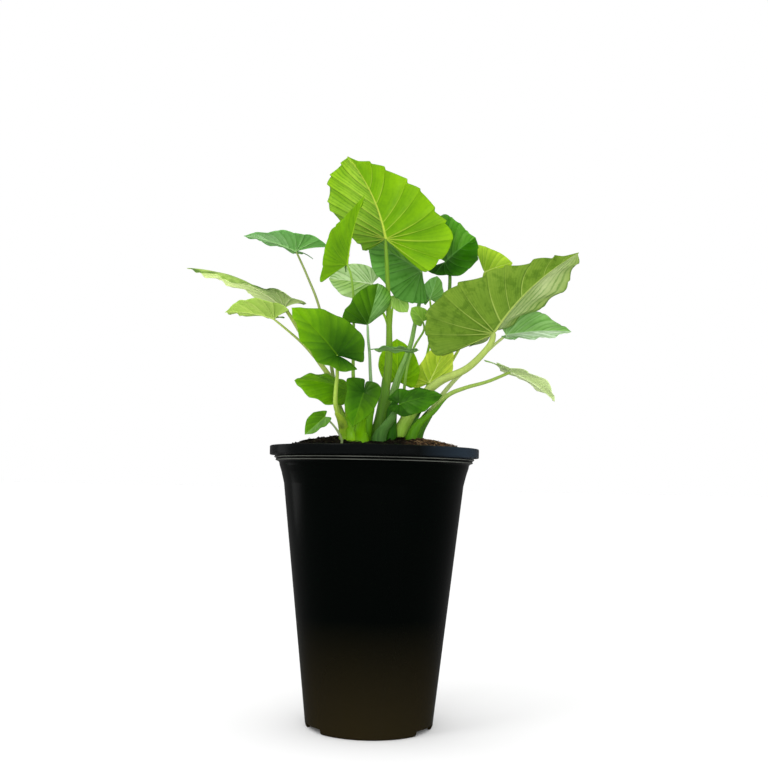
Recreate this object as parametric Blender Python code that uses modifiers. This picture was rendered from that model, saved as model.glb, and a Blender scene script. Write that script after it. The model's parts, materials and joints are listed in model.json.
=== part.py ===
"""A potted alocasia in its tall nursery pot, at its real size.

The pot stands on its foot ring and the dish in its floor at z = 0, with its axis on Z
and the front toward -Y.
The soil is heaped a little above the rim. Each leaf is two pieces: a heart-shaped
blade, and a stalk that grows out of its own plain hole in the soil and ends right
under the blade, where the lobes meet.
"""

from math import cos, exp, pi, radians, sin

import bpy
import numpy as np

MM = 0.001

# The pot, in mm: a tall, slightly tapered pot with a folded rim.
RIM_RADIUS = 125.0
POT_HEIGHT = 323.7
BASE_RADIUS = 74.2
TAPER = 0.1174
WALL = 2.0
FLOOR_UNDERSIDE = 6.0
FLOOR_TOP = 8.2
RIM_INNER_RADIUS = 116.8
POT_STEPS = 44
NOTCH_ANGLES = (-61.0, 61.0, 180.0)
NOTCH_WIDTH = 38.0
NOTCH_HEIGHT = 6.0
DISH_RADIUS = 26.0
DISH_WALL = 2.2
DRAIN_COUNT = 6
DRAIN_REACH = 50.0
DRAIN_RADIUS = 6.0

# The soil, in mm.
SOIL_GAP = 0.5
SOIL_PEAK = 336.8
HOLLOW_PLACE, HOLLOW_REACH, HOLLOW_DEPTH = (-8.0, -62.0), 46.0, 8.0
SOIL_STEPS = 36
STALK_GAP = 0.4
STALK_DEPTH = 24.0
BLADE_GAP = 0.45

# A half's margin has 10 steps between its points, and its lobe is the third of them.
# The first row of the blade runs to the margin a little short of the lobe.
MARGIN_STEPS = 10
LOBE_STEPS = 2 * MARGIN_STEPS
LOBE_START = 0.8

# Rows along a half's margin and columns across it, by the size of the leaf.
GRIDS = {"large": (17, 3), "medium": (13, 3), "small": (10, 2), "tiny": (8, 2)}

COLOURS = {
    "pot_black": ((0.012, 0.013, 0.015), 0.25),
    "soil_brown": ((0.045, 0.028, 0.016), 0.95),
    "leaf_yellow_green": ((0.28, 0.52, 0.035), 0.4),
    "leaf_green": ((0.11, 0.33, 0.015), 0.38),
    "leaf_dark_green": ((0.035, 0.16, 0.010), 0.33),
    "leaf_blue_green": ((0.06, 0.24, 0.09), 0.36),
    "leaf_pale_green": ((0.26, 0.47, 0.17), 0.42),
    "stalk_green": ((0.27, 0.42, 0.09), 0.4),
    "stalk_pale_green": ((0.34, 0.47, 0.16), 0.4),
}

# Every leaf in mm. "at" is where the stalk meets the blade and "tip" is the drip tip.
# The edges are the widest points and the lobes the lowest ones, named as someone who
# looks at the upper side with the tip pointing away sees them. "bow" lifts the midrib
# by a share of its length, "dome" lifts the middle of each half by a share of its
# width, and "curl" lets its margin hang down. "wave" is the height of the waves in
# the margin, how many there are, and where they start. "full" rounds each half's
# margin out, toward the tip and toward the lobe, and "shut" brings the inner edges of
# the two lobes together. "hole" is where the stalk stands in
# the soil, "via" is the way it takes from the blade down, and "stalk" its radii.
LEAVES = {
    "a": {
        "at": (8, 0, 580), "tip": (-41, 12, 687),
        "left": ((67, -2, 622), (61, -14, 537)), "right": ((-65, 45, 634), (-19, 32, 573)),
        "shut": 0.0, "bow": 0.05, "dome": (0.10, 0.12), "curl": (0.0, 0.0), "wave": (2.6, 5, 0.4),
        "full": ((0.8, 1.7), (1.7, 0.5)), "thick": 1.0, "grid": "large", "look": "leaf_yellow_green",
        "hole": (4, -8), "stalk": (2.2, 6.6), "look_stalk": "stalk_green",
        "via": ((10, -9, 549), (13, -11, 502), (15, -11, 453), (14, -11, 414), (9, -11, 366)),
    },
    "b": {
        "at": (-37, -42, 538), "tip": (-18, -32, 625),
        "left": ((-38, 0, 574), (-38, -2, 537)), "right": ((-58, -52, 573), (-67, -54, 514)),
        "shut": 0.0, "bow": 0.04, "dome": (0.08, 0.10), "curl": (0.0, 0.0), "wave": (1.6, 4, 0.1),
        "full": ((0.6, 0.5), (0.0, 0.15)), "thick": 0.8, "grid": "medium", "look": "leaf_green",
        "hole": (-18, 2), "stalk": (1.3, 3.0), "look_stalk": "stalk_green",
        "via": ((-32, -38, 526), (-29, -22, 503), (-28, -14, 470), (-27, -10, 404)),
    },
    "c": {
        "at": (-103, 20, 567), "tip": (-167, 8, 582),
        "left": ((-115, -12, 584), (-63, -2, 570)), "right": ((-130, 46, 578), (-83, 42, 564)),
        "shut": 0.0, "bow": 0.05, "dome": (0.08, 0.08), "curl": (0.0, 0.0), "wave": (1.6, 4, 0.6),
        "full": ((0.4, 0.8), (0.8, 0.8)), "thick": 0.8, "grid": "medium", "look": "leaf_blue_green",
        "hole": (-37, 12), "stalk": (1.3, 3.0), "look_stalk": "stalk_green",
        "via": ((-88, 14, 535), (-71, 6, 493), (-56, 4, 429), (-46, 8, 375)),
    },
    "d": {
        "at": (-113, -10, 490), "tip": (-227, -34, 531),
        "left": ((-154, -46, 516), (-83, -40, 495)), "right": ((-156, 18, 511), (-125, 22, 488)),
        "shut": 0.0, "bow": 0.09, "dome": (0.12, 0.10), "curl": (0.15, 0.0), "wave": (2.0, 5, 0.2),
        "full": ((0.5, 0.8), (0.2, 0.8)), "thick": 1.0, "grid": "large", "look": "leaf_yellow_green",
        "hole": (-34, -8), "stalk": (2.2, 4.2), "look_stalk": "stalk_green",
        "via": ((-105, -13, 480), (-82, -17, 444), (-68, -18, 424), (-50, -18, 398), (-42, -14, 365)),
    },
    "e": {
        "at": (-122, -36, 472), "tip": (-177, -52, 476),
        "left": ((-155, -62, 490), (-103, -56, 481)), "right": ((-158, -12, 479), (-112, -14, 477)),
        "shut": 0.0, "bow": 0.06, "dome": (0.08, 0.08), "curl": (0.0, 0.0), "wave": (1.4, 4, 0.8),
        "full": ((0.5, 0.8), (0.8, 0.8)), "thick": 0.8, "grid": "small", "look": "leaf_yellow_green",
        "hole": (-30, 5), "stalk": (1.3, 3.0), "look_stalk": "stalk_green",
        "via": ((-110, -30, 463), (-92, -16, 449), (-78, -6, 435), (-62, -2, 415), (-40, 4, 366)),
    },
    "f": {
        "at": (-45, -62, 427), "tip": (-97, -80, 478),
        "left": ((-67, -90, 420), (-21, -78, 409)), "right": ((-36, -52, 469), (-14, -56, 422)),
        "shut": 0.96, "bow": 0.05, "dome": (0.08, 0.10), "curl": (0.05, 0.0), "wave": (2.2, 5, 0.0),
        "full": ((0.9, 1.6), (0.75, 1.2)), "thick": 1.0, "grid": "large", "look": "leaf_green",
        "hole": (-35, -32), "stalk": (1.9, 4.0), "look_stalk": "stalk_green",
        "via": ((-44, -64, 404), (-45, -66, 388), (-45, -63, 369), (-39, -52, 353)),
    },
    "g": {
        "at": (-11, -30, 468), "tip": (0, -22, 520),
        "left": ((-32, -44, 491), (-39, -42, 470)), "right": ((16, -24, 504), (10, -24, 486)),
        "shut": 0.0, "bow": 0.05, "dome": (0.08, 0.08), "curl": (0.0, 0.0), "wave": (1.2, 4, 0.3),
        "full": ((0.9, 0.9), (1.0, 1.2)), "thick": 0.8, "grid": "small", "look": "leaf_dark_green",
        "hole": (-10, -16), "stalk": (1.5, 3.2), "look_stalk": "stalk_green",
        "via": ((-10, -32, 451), (-8, -28, 434), (-7, -26, 417), (-5, -22, 379)),
    },
    "h": {
        "at": (86, 72, 569), "tip": (120, 20, 589),
        "left": ((86, 52, 627), (53, 88, 604)), "right": ((122, 46, 562), (59, 82, 558)),
        "shut": 0.3, "bow": 0.06, "dome": (0.12, 0.10), "curl": (0.0, 0.1), "wave": (2.0, 4, 0.5),
        "full": ((0.1, 0.8), (0.9, 1.7)), "thick": 1.0, "grid": "medium", "look": "leaf_dark_green",
        "hole": (38, 46), "stalk": (2.2, 4.4), "look_stalk": "stalk_green",
        "via": ((93, 82, 552), (90, 90, 502), (77, 84, 435), (56, 62, 381)),
    },
    "i": {
        "at": (54, 44, 550), "tip": (-14, 56, 588),
        "left": ((12, 32, 526), (58, 38, 509)), "right": ((19, 70, 596), (66, 64, 580)),
        "shut": 0.3, "bow": 0.05, "dome": (0.08, 0.08), "curl": (0.0, 0.0), "wave": (1.8, 4, 0.7),
        "full": ((0.9, 1.2), (0.9, 0.9)), "thick": 1.0, "grid": "medium", "look": "leaf_blue_green",
        "hole": (14, 10), "stalk": (2.2, 4.8), "look_stalk": "stalk_pale_green",
        "via": ((55, 56, 531), (52, 52, 507), (47, 44, 480), (41, 36, 451), (27, 26, 413), (18, 18, 381)),
    },
    "j": {
        "at": (140, -20, 462), "tip": (243, -12, 565),
        "left": ((223, 34, 518), (118, 22, 451)), "right": ((85, -8, 517), (70, -28, 433)),
        "shut": 0.0, "bow": 0.05, "dome": (0.10, 0.10), "curl": (0.0, 0.0), "wave": (3.0, 6, 0.1),
        "full": ((1.6, 0.8), (0.4, 1.35)), "thick": 1.0, "grid": "large", "look": "leaf_pale_green",
        "hole": (28, -14), "stalk": (3.6, 7.2), "look_stalk": "stalk_pale_green",
        "via": ((133, -27, 445), (108, -28, 419), (76, -26, 403), (54, -22, 383), (39, -18, 359)),
    },
    "k": {
        "at": (163, 48, 471), "tip": (243, 36, 475),
        "left": ((199, 64, 507), (153, 66, 496)), "right": ((204, 32, 465), (158, 42, 466)),
        "shut": 0.5, "bow": 0.05, "dome": (0.08, 0.08), "curl": (0.0, 0.0), "wave": (1.8, 4, 0.4),
        "full": ((0.3, 0.8), (0.6, 0.4)), "thick": 0.8, "grid": "medium", "look": "leaf_blue_green",
        "hole": (50, 0), "stalk": (1.8, 3.8), "look_stalk": "stalk_green",
        "via": ((149, 46, 459), (123, 34, 434), (99, 18, 412), (78, 8, 386), (59, 4, 356)),
    },
    "l": {
        "at": (140, 104, 563), "tip": (176, 92, 574),
        "left": ((149, 98, 593), (129, 110, 600)), "right": ((167, 86, 560), (142, 100, 541)),
        "shut": 0.4, "bow": 0.05, "dome": (0.08, 0.08), "curl": (0.0, 0.0), "wave": (1.2, 3, 0.2),
        "full": ((0.5, 0.5), (0.8, 0.8)), "thick": 0.8, "grid": "small", "look": "leaf_yellow_green",
        "hole": (14, 50), "stalk": (1.4, 3.0), "look_stalk": "stalk_green",
        "via": ((133, 112, 527), (114, 106, 472), (77, 84, 409), (36, 58, 355)),
    },
    "m": {
        "at": (160, -24, 416), "tip": (210, -36, 381),
        "left": ((190, 6, 403), (130, 0, 433)), "right": ((190, -52, 408), (140, -44, 423)),
        "shut": 0.0, "bow": 0.06, "dome": (0.08, 0.08), "curl": (0.0, 0.0), "wave": (1.6, 4, 0.9),
        "full": ((1.6, 0.8), (1.6, 0.8)), "thick": 0.8, "grid": "small", "look": "leaf_pale_green",
        "hole": (43, -32), "stalk": (1.8, 4.0), "look_stalk": "stalk_pale_green",
        "via": ((133, -26, 404), (105, -32, 395), (84, -36, 385), (67, -36, 366)),
    },
    "n": {
        "at": (-13, -80, 382), "tip": (-24, -92, 343),
        "left": ((6, -84, 381), (-9, -76, 396)), "right": ((-32, -84, 383), (-14, -75, 399)),
        "shut": 0.96, "bow": 0.08, "dome": (0.08, 0.08), "curl": (0.0, 0.0), "wave": (1.0, 3, 0.5),
        "full": ((1.0, 1.7), (1.0, 2.5)), "thick": 0.8, "grid": "small", "look": "leaf_dark_green",
        "hole": (-14, -48), "stalk": (1.5, 3.0), "look_stalk": "stalk_green",
        "via": ((-14, -72, 372), (-14, -62, 358), (-16, -53, 342)),
    },
    "o": {
        "at": (-29, -36, 388), "tip": (-94, -52, 398),
        "left": ((-66, -56, 375), (-38, -48, 371)), "right": ((-63, -32, 408), (-34, -26, 399)),
        "shut": 0.0, "bow": 0.08, "dome": (0.08, 0.08), "curl": (0.0, 0.0), "wave": (1.6, 4, 0.9),
        "full": ((0.9, 0.9), (0.9, 0.9)), "thick": 0.8, "grid": "medium", "look": "leaf_green",
        "hole": (-22, -38), "stalk": (1.1, 3.6), "look_stalk": "stalk_green",
        "via": ((-33, -25, 379), (-34, -30, 366), (-29, -36, 346)),
    },
    "p": {
        "at": (-55, -90, 354), "tip": (-76, -104, 333),
        "left": ((-59, -96, 341), (-48, -90, 352)), "right": ((-72, -98, 354), (-55, -86, 361)),
        "shut": 0.6, "bow": 0.08, "dome": (0.08, 0.08), "curl": (0.0, 0.0), "wave": (0.8, 3, 0.4),
        "full": ((0.9, 0.9), (0.9, 0.9)), "thick": 0.8, "grid": "tiny", "look": "leaf_green",
        "hole": (-36, -84), "stalk": (1.0, 1.5), "look_stalk": "stalk_green",
        "via": ((-45, -87, 344),),
    },
    "q": {
        "at": (29, -60, 372), "tip": (77, -66, 383),
        "left": ((38, -52, 390), (15, -54, 379)), "right": ((42, -72, 359), (15, -66, 367)),
        "shut": 0.85, "bow": 0.06, "dome": (0.08, 0.08), "curl": (0.0, 0.0), "wave": (1.2, 4, 0.6),
        "full": ((0.9, 1.3), (0.9, 1.3)), "thick": 0.8, "grid": "small", "look": "leaf_dark_green",
        "hole": (5, -38), "stalk": (2.0, 5.0), "look_stalk": "stalk_green",
        "via": ((24, -56, 364), (14, -47, 350)),
    },
    "r": {
        "at": (27, 42, 409), "tip": (25, 52, 464),
        "left": ((52, 40, 432), (47, 44, 402)), "right": ((3, 46, 438), (10, 46, 409)),
        "shut": 0.4, "bow": 0.05, "dome": (0.08, 0.08), "curl": (0.0, 0.0), "wave": (1.2, 4, 0.1),
        "full": ((0.9, 0.9), (0.9, 0.9)), "thick": 0.8, "grid": "small", "look": "leaf_green",
        "hole": (14, 30), "stalk": (1.6, 3.4), "look_stalk": "stalk_green",
        "via": ((26, 40, 398), (22, 34, 372), (16, 31, 350)),
    },
    "s": {
        "at": (67, 56, 409), "tip": (90, 70, 464),
        "left": ((97, 58, 437), (90, 60, 414)), "right": ((56, 64, 435), (47, 62, 403)),
        "shut": 0.4, "bow": 0.05, "dome": (0.08, 0.08), "curl": (0.0, 0.0), "wave": (1.2, 4, 0.4),
        "full": ((0.9, 0.9), (0.9, 0.9)), "thick": 0.8, "grid": "small", "look": "leaf_yellow_green",
        "hole": (30, 28), "stalk": (1.6, 3.4), "look_stalk": "stalk_green",
        "via": ((63, 54, 400), (49, 44, 371), (36, 34, 348)),
    },
    "t": {
        "at": (40, -24, 439), "tip": (-8, -40, 437),
        "left": ((17, -48, 440), (48, -40, 438)), "right": ((20, -19, 438), (51, -16, 439)),
        "shut": 0.0, "bow": 0.04, "dome": (0.08, 0.08), "curl": (0.0, 0.0), "wave": (1.6, 4, 0.2),
        "full": ((0.9, 0.9), (0.9, 0.9)), "thick": 0.8, "grid": "small", "look": "leaf_blue_green",
        "hole": (18, -26), "stalk": (1.3, 3.0), "look_stalk": "stalk_green",
        "via": ((37, -24, 428), (30, -22, 409), (24, -24, 386), (19, -25, 356)),
    },
    "u": {
        "at": (-8, 76, 539), "tip": (-64, 64, 542),
        "left": ((-40, 60, 560), (2, 66, 552)), "right": ((-37, 84, 521), (0, 84, 524)),
        "shut": 0.4, "bow": 0.05, "dome": (0.08, 0.08), "curl": (0.0, 0.0), "wave": (1.4, 4, 0.6),
        "full": ((0.9, 0.9), (0.9, 0.9)), "thick": 0.8, "grid": "small", "look": "leaf_pale_green",
        "hole": (0, 42), "stalk": (1.5, 3.0), "look_stalk": "stalk_green",
        "via": ((-3, 78, 518), (13, 76, 485), (16, 70, 426), (9, 52, 367)),
    },
    "v": {
        "at": (22, 56, 521), "tip": (38, 50, 498),
        "left": ((37, 52, 515), (28, 56, 529)), "right": ((21, 54, 502), (14, 58, 517)),
        "shut": 0.3, "bow": 0.08, "dome": (0.08, 0.08), "curl": (0.0, 0.0), "wave": (0.8, 3, 0.1),
        "full": ((0.9, 0.9), (0.9, 0.9)), "thick": 0.8, "grid": "tiny", "look": "leaf_green",
        "hole": (4, 28), "stalk": (1.2, 2.5), "look_stalk": "stalk_green",
        "via": ((19, 59, 508), (17, 60, 470), (18, 58, 425), (13, 44, 379)),
    },
    "w": {
        "at": (66, 54, 516), "tip": (75, 58, 547),
        "left": ((82, 52, 532), (78, 52, 512)), "right": ((58, 60, 535), (59, 58, 510)),
        "shut": 0.5, "bow": 0.05, "dome": (0.08, 0.08), "curl": (0.0, 0.0), "wave": (0.8, 3, 0.7),
        "full": ((0.9, 0.9), (0.9, 0.9)), "thick": 0.8, "grid": "tiny", "look": "leaf_blue_green",
        "hole": (26, 40), "stalk": (1.3, 3.0), "look_stalk": "stalk_green",
        "via": ((68, 50, 499), (69, 56, 483), (66, 80, 454), (51, 68, 394), (36, 50, 355)),
    },
    "x": {
        "at": (57, 34, 484), "tip": (42, 28, 500),
        "left": ((43, 26, 484), (53, 30, 477)), "right": ((58, 36, 501), (65, 36, 489)),
        "shut": 0.5, "bow": 0.05, "dome": (0.08, 0.08), "curl": (0.0, 0.0), "wave": (0.8, 3, 0.3),
        "full": ((0.9, 0.9), (0.9, 0.9)), "thick": 0.8, "grid": "tiny", "look": "leaf_green",
        "hole": (36, 12), "stalk": (1.3, 2.5), "look_stalk": "stalk_green",
        "via": ((58, 33, 472), (46, 30, 450), (37, 24, 419), (33, 15, 365)),
    },
}


def unit(vector):
    return vector / np.linalg.norm(vector)


def curve_through(points, steps):
    """Points on a smooth curve through the given points, a few for each stretch."""
    points = [np.asarray(point, float) for point in points]
    ends = [2 * points[0] - points[1], *points, 2 * points[-1] - points[-2]]
    found = []
    for start in range(len(points) - 1):
        p0, p1, p2, p3 = ends[start:start + 4]
        for step in range(steps):
            t = step / steps
            found.append(
                0.5 * (2 * p1 + (p2 - p0) * t + (2 * p0 - 5 * p1 + 4 * p2 - p3) * t**2
                       + (3 * p1 - p0 - 3 * p2 + p3) * t**3)
            )
    return np.array([*found, points[-1]])


def spaced(points, shares):
    """Points at the given shares of the curve's length."""
    steps = np.linalg.norm(np.diff(points, axis=0), axis=1)
    length = np.concatenate([[0.0], np.cumsum(steps)])
    wanted = np.asarray(shares) * length[-1]
    return np.stack([np.interp(wanted, length, points[:, axis]) for axis in range(3)], axis=1)


def leaf_up(leaf):
    """The direction that the upper side of the whole leaf faces."""
    along = np.subtract(leaf["tip"], leaf["at"])
    across = np.subtract(leaf["left"][0], leaf["right"][0])
    return unit(np.cross(along, across))


def margin(leaf, name):
    """The edge of one half, from the notch between the lobes round to the tip."""
    at, tip = (np.array(leaf[key], float) for key in ("at", "tip"))
    edge, lobe = (np.array(point, float) for point in leaf[name])
    full = leaf["full"][0 if name == "left" else 1]
    back = unit((np.array(leaf["left"][1], float) + leaf["right"][1]) / 2 - at)
    inner = unit(leaf["shut"] * back + (1.0 - leaf["shut"]) * unit(lobe - at))
    out = unit((edge + lobe) / 2 - at)
    along = unit(tip - edge)
    side = unit((edge - at) - np.dot(edge - at, along) * along)
    reach = np.linalg.norm(tip - edge)
    return curve_through(
        [
            at,
            at + 0.5 * np.linalg.norm(lobe - at) * inner,
            lobe,
            (edge + lobe) / 2 + 0.18 * full[1] * np.linalg.norm(edge - lobe) * out,
            edge,
            edge + 0.34 * (tip - edge) + 0.12 * full[0] * reach * side,
            edge + 0.68 * (tip - edge) + 0.10 * full[0] * reach * side,
            tip,
        ],
        MARGIN_STEPS,
    )


def half_blade(leaf, name, rows, columns):
    """One half of a blade as rows of points, each from the midrib out to the margin."""
    at, tip = (np.array(leaf[key], float) for key in ("at", "tip"))
    edge, lobe = (np.array(point, float) for point in leaf[name])
    number = 0 if name == "left" else 1
    flip = 1.0 if name == "left" else -1.0
    facing = unit(np.cross(tip - at, edge - at)) * flip
    edge_line = margin(leaf, name)
    lengths = np.linalg.norm(np.diff(edge_line, axis=0), axis=1)
    first = LOBE_START * lengths[:LOBE_STEPS].sum() / lengths.sum()
    progress = np.linspace(0.0, 1.0, rows)
    shares = first + (1.0 - first) * progress
    outline = spaced(edge_line, shares)
    height, count, start = leaf["wave"]
    length = np.linalg.norm(tip - at)
    found = []
    for way, share, end in zip(progress, shares, outline):
        rib = max(0.0, (way - 0.32) / 0.68) ** 1.4
        root = at + rib * (tip - at) + leaf["bow"] * length * 4 * rib * (1 - rib) * leaf_up(leaf)
        reach = np.linalg.norm(end - root)
        row = []
        for column in range(columns + 1):
            t = column / columns
            lift = leaf["dome"][number] * reach * 4 * t * (1 - t) * 0.5
            lift -= leaf["curl"][number] * reach * t**3
            fade = min(1.0, reach / 12.0)
            lift += height * fade * t**2 * sin(2 * pi * (count * share + start + 0.37 * number))
            row.append(root + t * (end - root) + lift * facing)
        found.append(row)
    return found


def blade_faces(leaf, rows, columns):
    """The blade's middle surface: points, and triangles that face its upper side."""
    points, numbers, faces = [], {}, []

    def number(point):
        key = tuple(np.round(point, 4))
        if key not in numbers:
            numbers[key] = len(points)
            points.append(point)
        return numbers[key]

    for name in ("left", "right"):
        grid = [[number(point) for point in row] for row in half_blade(leaf, name, rows, columns)]
        for near, far in zip(grid, grid[1:]):
            for column in range(columns):
                a, b, c, d = near[column], far[column], far[column + 1], near[column + 1]
                for face in ((a, b, c), (a, c, d)):
                    if len(set(face)) == 3:
                        faces.append(face if name == "left" else face[::-1])
    return points, faces


def soil_height(x, y):
    """The soil's surface: a low heap with uneven clods and a hollow in front of the stems."""
    reach = (x * x + y * y) ** 0.5 / 112.0
    heap = SOIL_PEAK - 16.5 * min(1.0, reach) ** 3
    clods = 0.8 * sin(0.11 * x + 1.3) * cos(0.13 * y) + 0.6 * sin(0.23 * x - 0.19 * y + 0.6)
    away = ((x - HOLLOW_PLACE[0]) ** 2 + (y - HOLLOW_PLACE[1]) ** 2) / HOLLOW_REACH**2
    return heap + (clods - HOLLOW_DEPTH * exp(-away)) * max(0.0, 1.0 - reach**4)


def material(name):
    """The finish of that name, made once."""
    if name in bpy.data.materials:
        return bpy.data.materials[name]
    made = bpy.data.materials.new(name)
    made.use_nodes = True
    colour, roughness = COLOURS[name]
    shader = made.node_tree.nodes["Principled BSDF"]
    shader.inputs["Base Color"].default_value = (*colour, 1.0)
    shader.inputs["Roughness"].default_value = roughness
    shader.inputs["Metallic"].default_value = 0.0
    made.diffuse_color = (*colour, 1.0)
    return made


def add_object(name, data, finish, collection):
    """An object in the collection, with its finish."""
    made = bpy.data.objects.new(name, data)
    if finish:
        data.materials.append(material(finish))
    collection.objects.link(made)
    return made


def turned(name, profile, steps, finish, collection):
    """A profile of (radius, z) in mm, turned about Z."""
    mesh = bpy.data.meshes.new(name)
    edges = [(i, i + 1) for i in range(len(profile) - 1)]
    if profile[0][0] > 0 and profile[-1][0] > 0:
        edges.append((len(profile) - 1, 0))
    mesh.from_pydata([(r * MM, 0.0, z * MM) for r, z in profile], edges, [])
    made = add_object(name, mesh, finish, collection)
    screw = made.modifiers.new("turn", "SCREW")
    screw.axis = "Z"
    screw.steps = steps
    screw.render_steps = steps
    screw.use_merge_vertices = True
    screw.merge_threshold = 0.00005
    screw.use_normal_calculate = False
    return made


def flattened(item):
    """The object's evaluated shape as a plain mesh, with its modifiers used up."""
    bpy.context.view_layer.update()
    evaluated = item.evaluated_get(bpy.context.evaluated_depsgraph_get())
    mesh = bpy.data.meshes.new_from_object(evaluated)
    item.modifiers.clear()
    item.data = mesh
    return item


def cut(item, cutter):
    """Takes the cutter out of the item."""
    boolean = item.modifiers.new(cutter.name, "BOOLEAN")
    boolean.operation = "DIFFERENCE"
    boolean.solver = "EXACT"
    boolean.object = cutter


def add_cutter(name, item, cutters):
    """Names a new mesh and keeps it among the cutters, hidden."""
    item.name = name
    for owner in list(item.users_collection):
        owner.objects.unlink(item)
    cutters.objects.link(item)
    item.hide_render = True
    item.display_type = "WIRE"
    return item


def build_pot(parts, cutters):
    """The pot: a tapered wall, a folded rim, and a raised floor with a dish and drain holes."""
    profile = [
        (0.0, DISH_WALL), (DISH_RADIUS - DISH_WALL, DISH_WALL),
        (DISH_RADIUS - DISH_WALL + 4.0, FLOOR_TOP),
        (BASE_RADIUS + TAPER * FLOOR_TOP - WALL, FLOOR_TOP),
        (BASE_RADIUS + TAPER * 280.0 - WALL, 280.0), (108.2, 293.0), (110.4, 304.6),
        (111.0, 306.0), (114.8, 310.8), (116.4, 312.6), (RIM_INNER_RADIUS, 314.0),
        (117.2, 322.6), (118.0, POT_HEIGHT), (124.2, POT_HEIGHT), (RIM_RADIUS, 322.8),
        (124.9, 313.3), (124.2, 312.8), (123.2, 313.2), (122.9, 321.2), (119.4, 321.2),
        (119.0, 312.4), (118.2, 310.9), (116.8, 310.3), (116.4, 309.4), (113.1, 305.2),
        (112.6, 304.0), (110.3, 293.0), (BASE_RADIUS + TAPER * 280.0, 280.0),
        (BASE_RADIUS + TAPER * 3.0, 3.0), (BASE_RADIUS - 0.6, 1.0), (BASE_RADIUS - 2.0, 0.0),
        (BASE_RADIUS - 4.2, 0.0), (BASE_RADIUS - 4.6, FLOOR_UNDERSIDE),
        (DISH_RADIUS + 4.0, FLOOR_UNDERSIDE), (DISH_RADIUS, 0.0), (0.0, 0.0),
    ]
    pot = turned("pot", profile, POT_STEPS, "pot_black", parts)
    for number, angle in enumerate(NOTCH_ANGLES):
        turn = radians(angle)
        bpy.ops.mesh.primitive_cube_add(size=1.0)
        notch = add_cutter(f"notch_{number}", bpy.context.active_object, cutters)
        notch.scale = (NOTCH_WIDTH * MM, 14.0 * MM, NOTCH_HEIGHT * 2 * MM)
        notch.location = (BASE_RADIUS * sin(turn) * MM, -BASE_RADIUS * cos(turn) * MM, 0.0)
        notch.rotation_euler = (0.0, 0.0, turn)
        cut(pot, notch)
    for number in range(DRAIN_COUNT):
        turn = 2 * pi * number / DRAIN_COUNT
        bpy.ops.mesh.primitive_cylinder_add(
            vertices=12, radius=DRAIN_RADIUS * MM, depth=12.0 * MM,
            location=(DRAIN_REACH * cos(turn) * MM, DRAIN_REACH * sin(turn) * MM, 7.0 * MM),
        )
        cut(pot, add_cutter(f"drain_{number}", bpy.context.active_object, cutters))
    return pot


def build_soil(parts, cutters):
    """The soil that fills the pot and is heaped above it, with a plain hole for each stalk."""
    inside = WALL + SOIL_GAP
    side = [
        (116.2, 318.0), (116.0, 314.4), (114.4, 311.2), (110.2, 306.0), (107.7, 293.0),
        (BASE_RADIUS + TAPER * 280.0 - inside, 280.0), (BASE_RADIUS + TAPER * 9.0 - inside, 8.7),
        (DISH_RADIUS - DISH_WALL + 3.6, 8.7), (DISH_RADIUS - DISH_WALL - 0.7, DISH_WALL + 0.5),
    ]
    top = [(112.0 * step / 6, SOIL_PEAK) for step in range(7)]
    profile = [*top, *side, (0.0, DISH_WALL + 0.5)]
    soil = flattened(turned("soil", profile, SOIL_STEPS, "soil_brown", parts))
    for vertex in soil.data.vertices:
        if vertex.co.z > 320.0 * MM:
            vertex.co.z = soil_height(vertex.co.x / MM, vertex.co.y / MM) * MM
    for name, leaf in LEAVES.items():
        x, y = leaf["hole"]
        low = soil_height(x, y) - STALK_DEPTH
        high = SOIL_PEAK + 8.0
        bpy.ops.mesh.primitive_cylinder_add(
            vertices=12, radius=(leaf["stalk"][1] / cos(pi / 12) + STALK_GAP) * MM,
            depth=(high - low) * MM,
            location=(x * MM, y * MM, (high + low) / 2 * MM),
        )
        cut(soil, add_cutter(f"hole_{name}", bpy.context.active_object, cutters))
    return soil


def build_blade(name, leaf, parts):
    """A blade: its middle surface, made solid."""
    points, faces = blade_faces(leaf, *GRIDS[leaf["grid"]])
    mesh = bpy.data.meshes.new(f"leaf_{name}_blade")
    mesh.from_pydata([tuple(point * MM) for point in points], [], faces)
    blade = add_object(f"leaf_{name}_blade", mesh, leaf["look"], parts)
    mesh.shade_smooth()
    shell = blade.modifiers.new("thickness", "SOLIDIFY")
    shell.thickness = leaf["thick"] * MM
    shell.offset = 0.0
    shell.use_rim = True
    return blade


def stalk_path(leaf):
    """The stalk's axis and its radius, from the bottom of its hole to the blade."""
    x, y = leaf["hole"]
    ground = soil_height(x, y)
    top, thin, thick = leaf_up(leaf), leaf["stalk"][0], leaf["stalk"][1]
    at = np.array(leaf["at"], float)
    lead = unit(at - np.array(leaf["via"][0], float))
    back = thin * (1.0 - np.dot(lead, top) ** 2) ** 0.5
    end = at - top * (leaf["thick"] / 2 + BLADE_GAP + back)
    bottom = np.array((x, y, ground - STALK_DEPTH + 0.4))
    foot = np.array((x, y, ground + 2.5))
    rise = np.array(leaf["via"][-1], float) - foot
    knee = foot + 0.3 * rise + (0.0, 0.0, 0.2 * np.linalg.norm(rise[:2]))
    above = curve_through([foot, knee, *reversed(leaf["via"]), end], 4)
    steps = 3 * (len(leaf["via"]) + 1)
    above = spaced(above, np.linspace(0.0, 1.0, steps))
    radii = [thick, *(thin + (thick - thin) * (1.0 - np.linspace(0.0, 1.0, steps)) ** 1.5)]
    return [bottom, *above], radii


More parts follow.
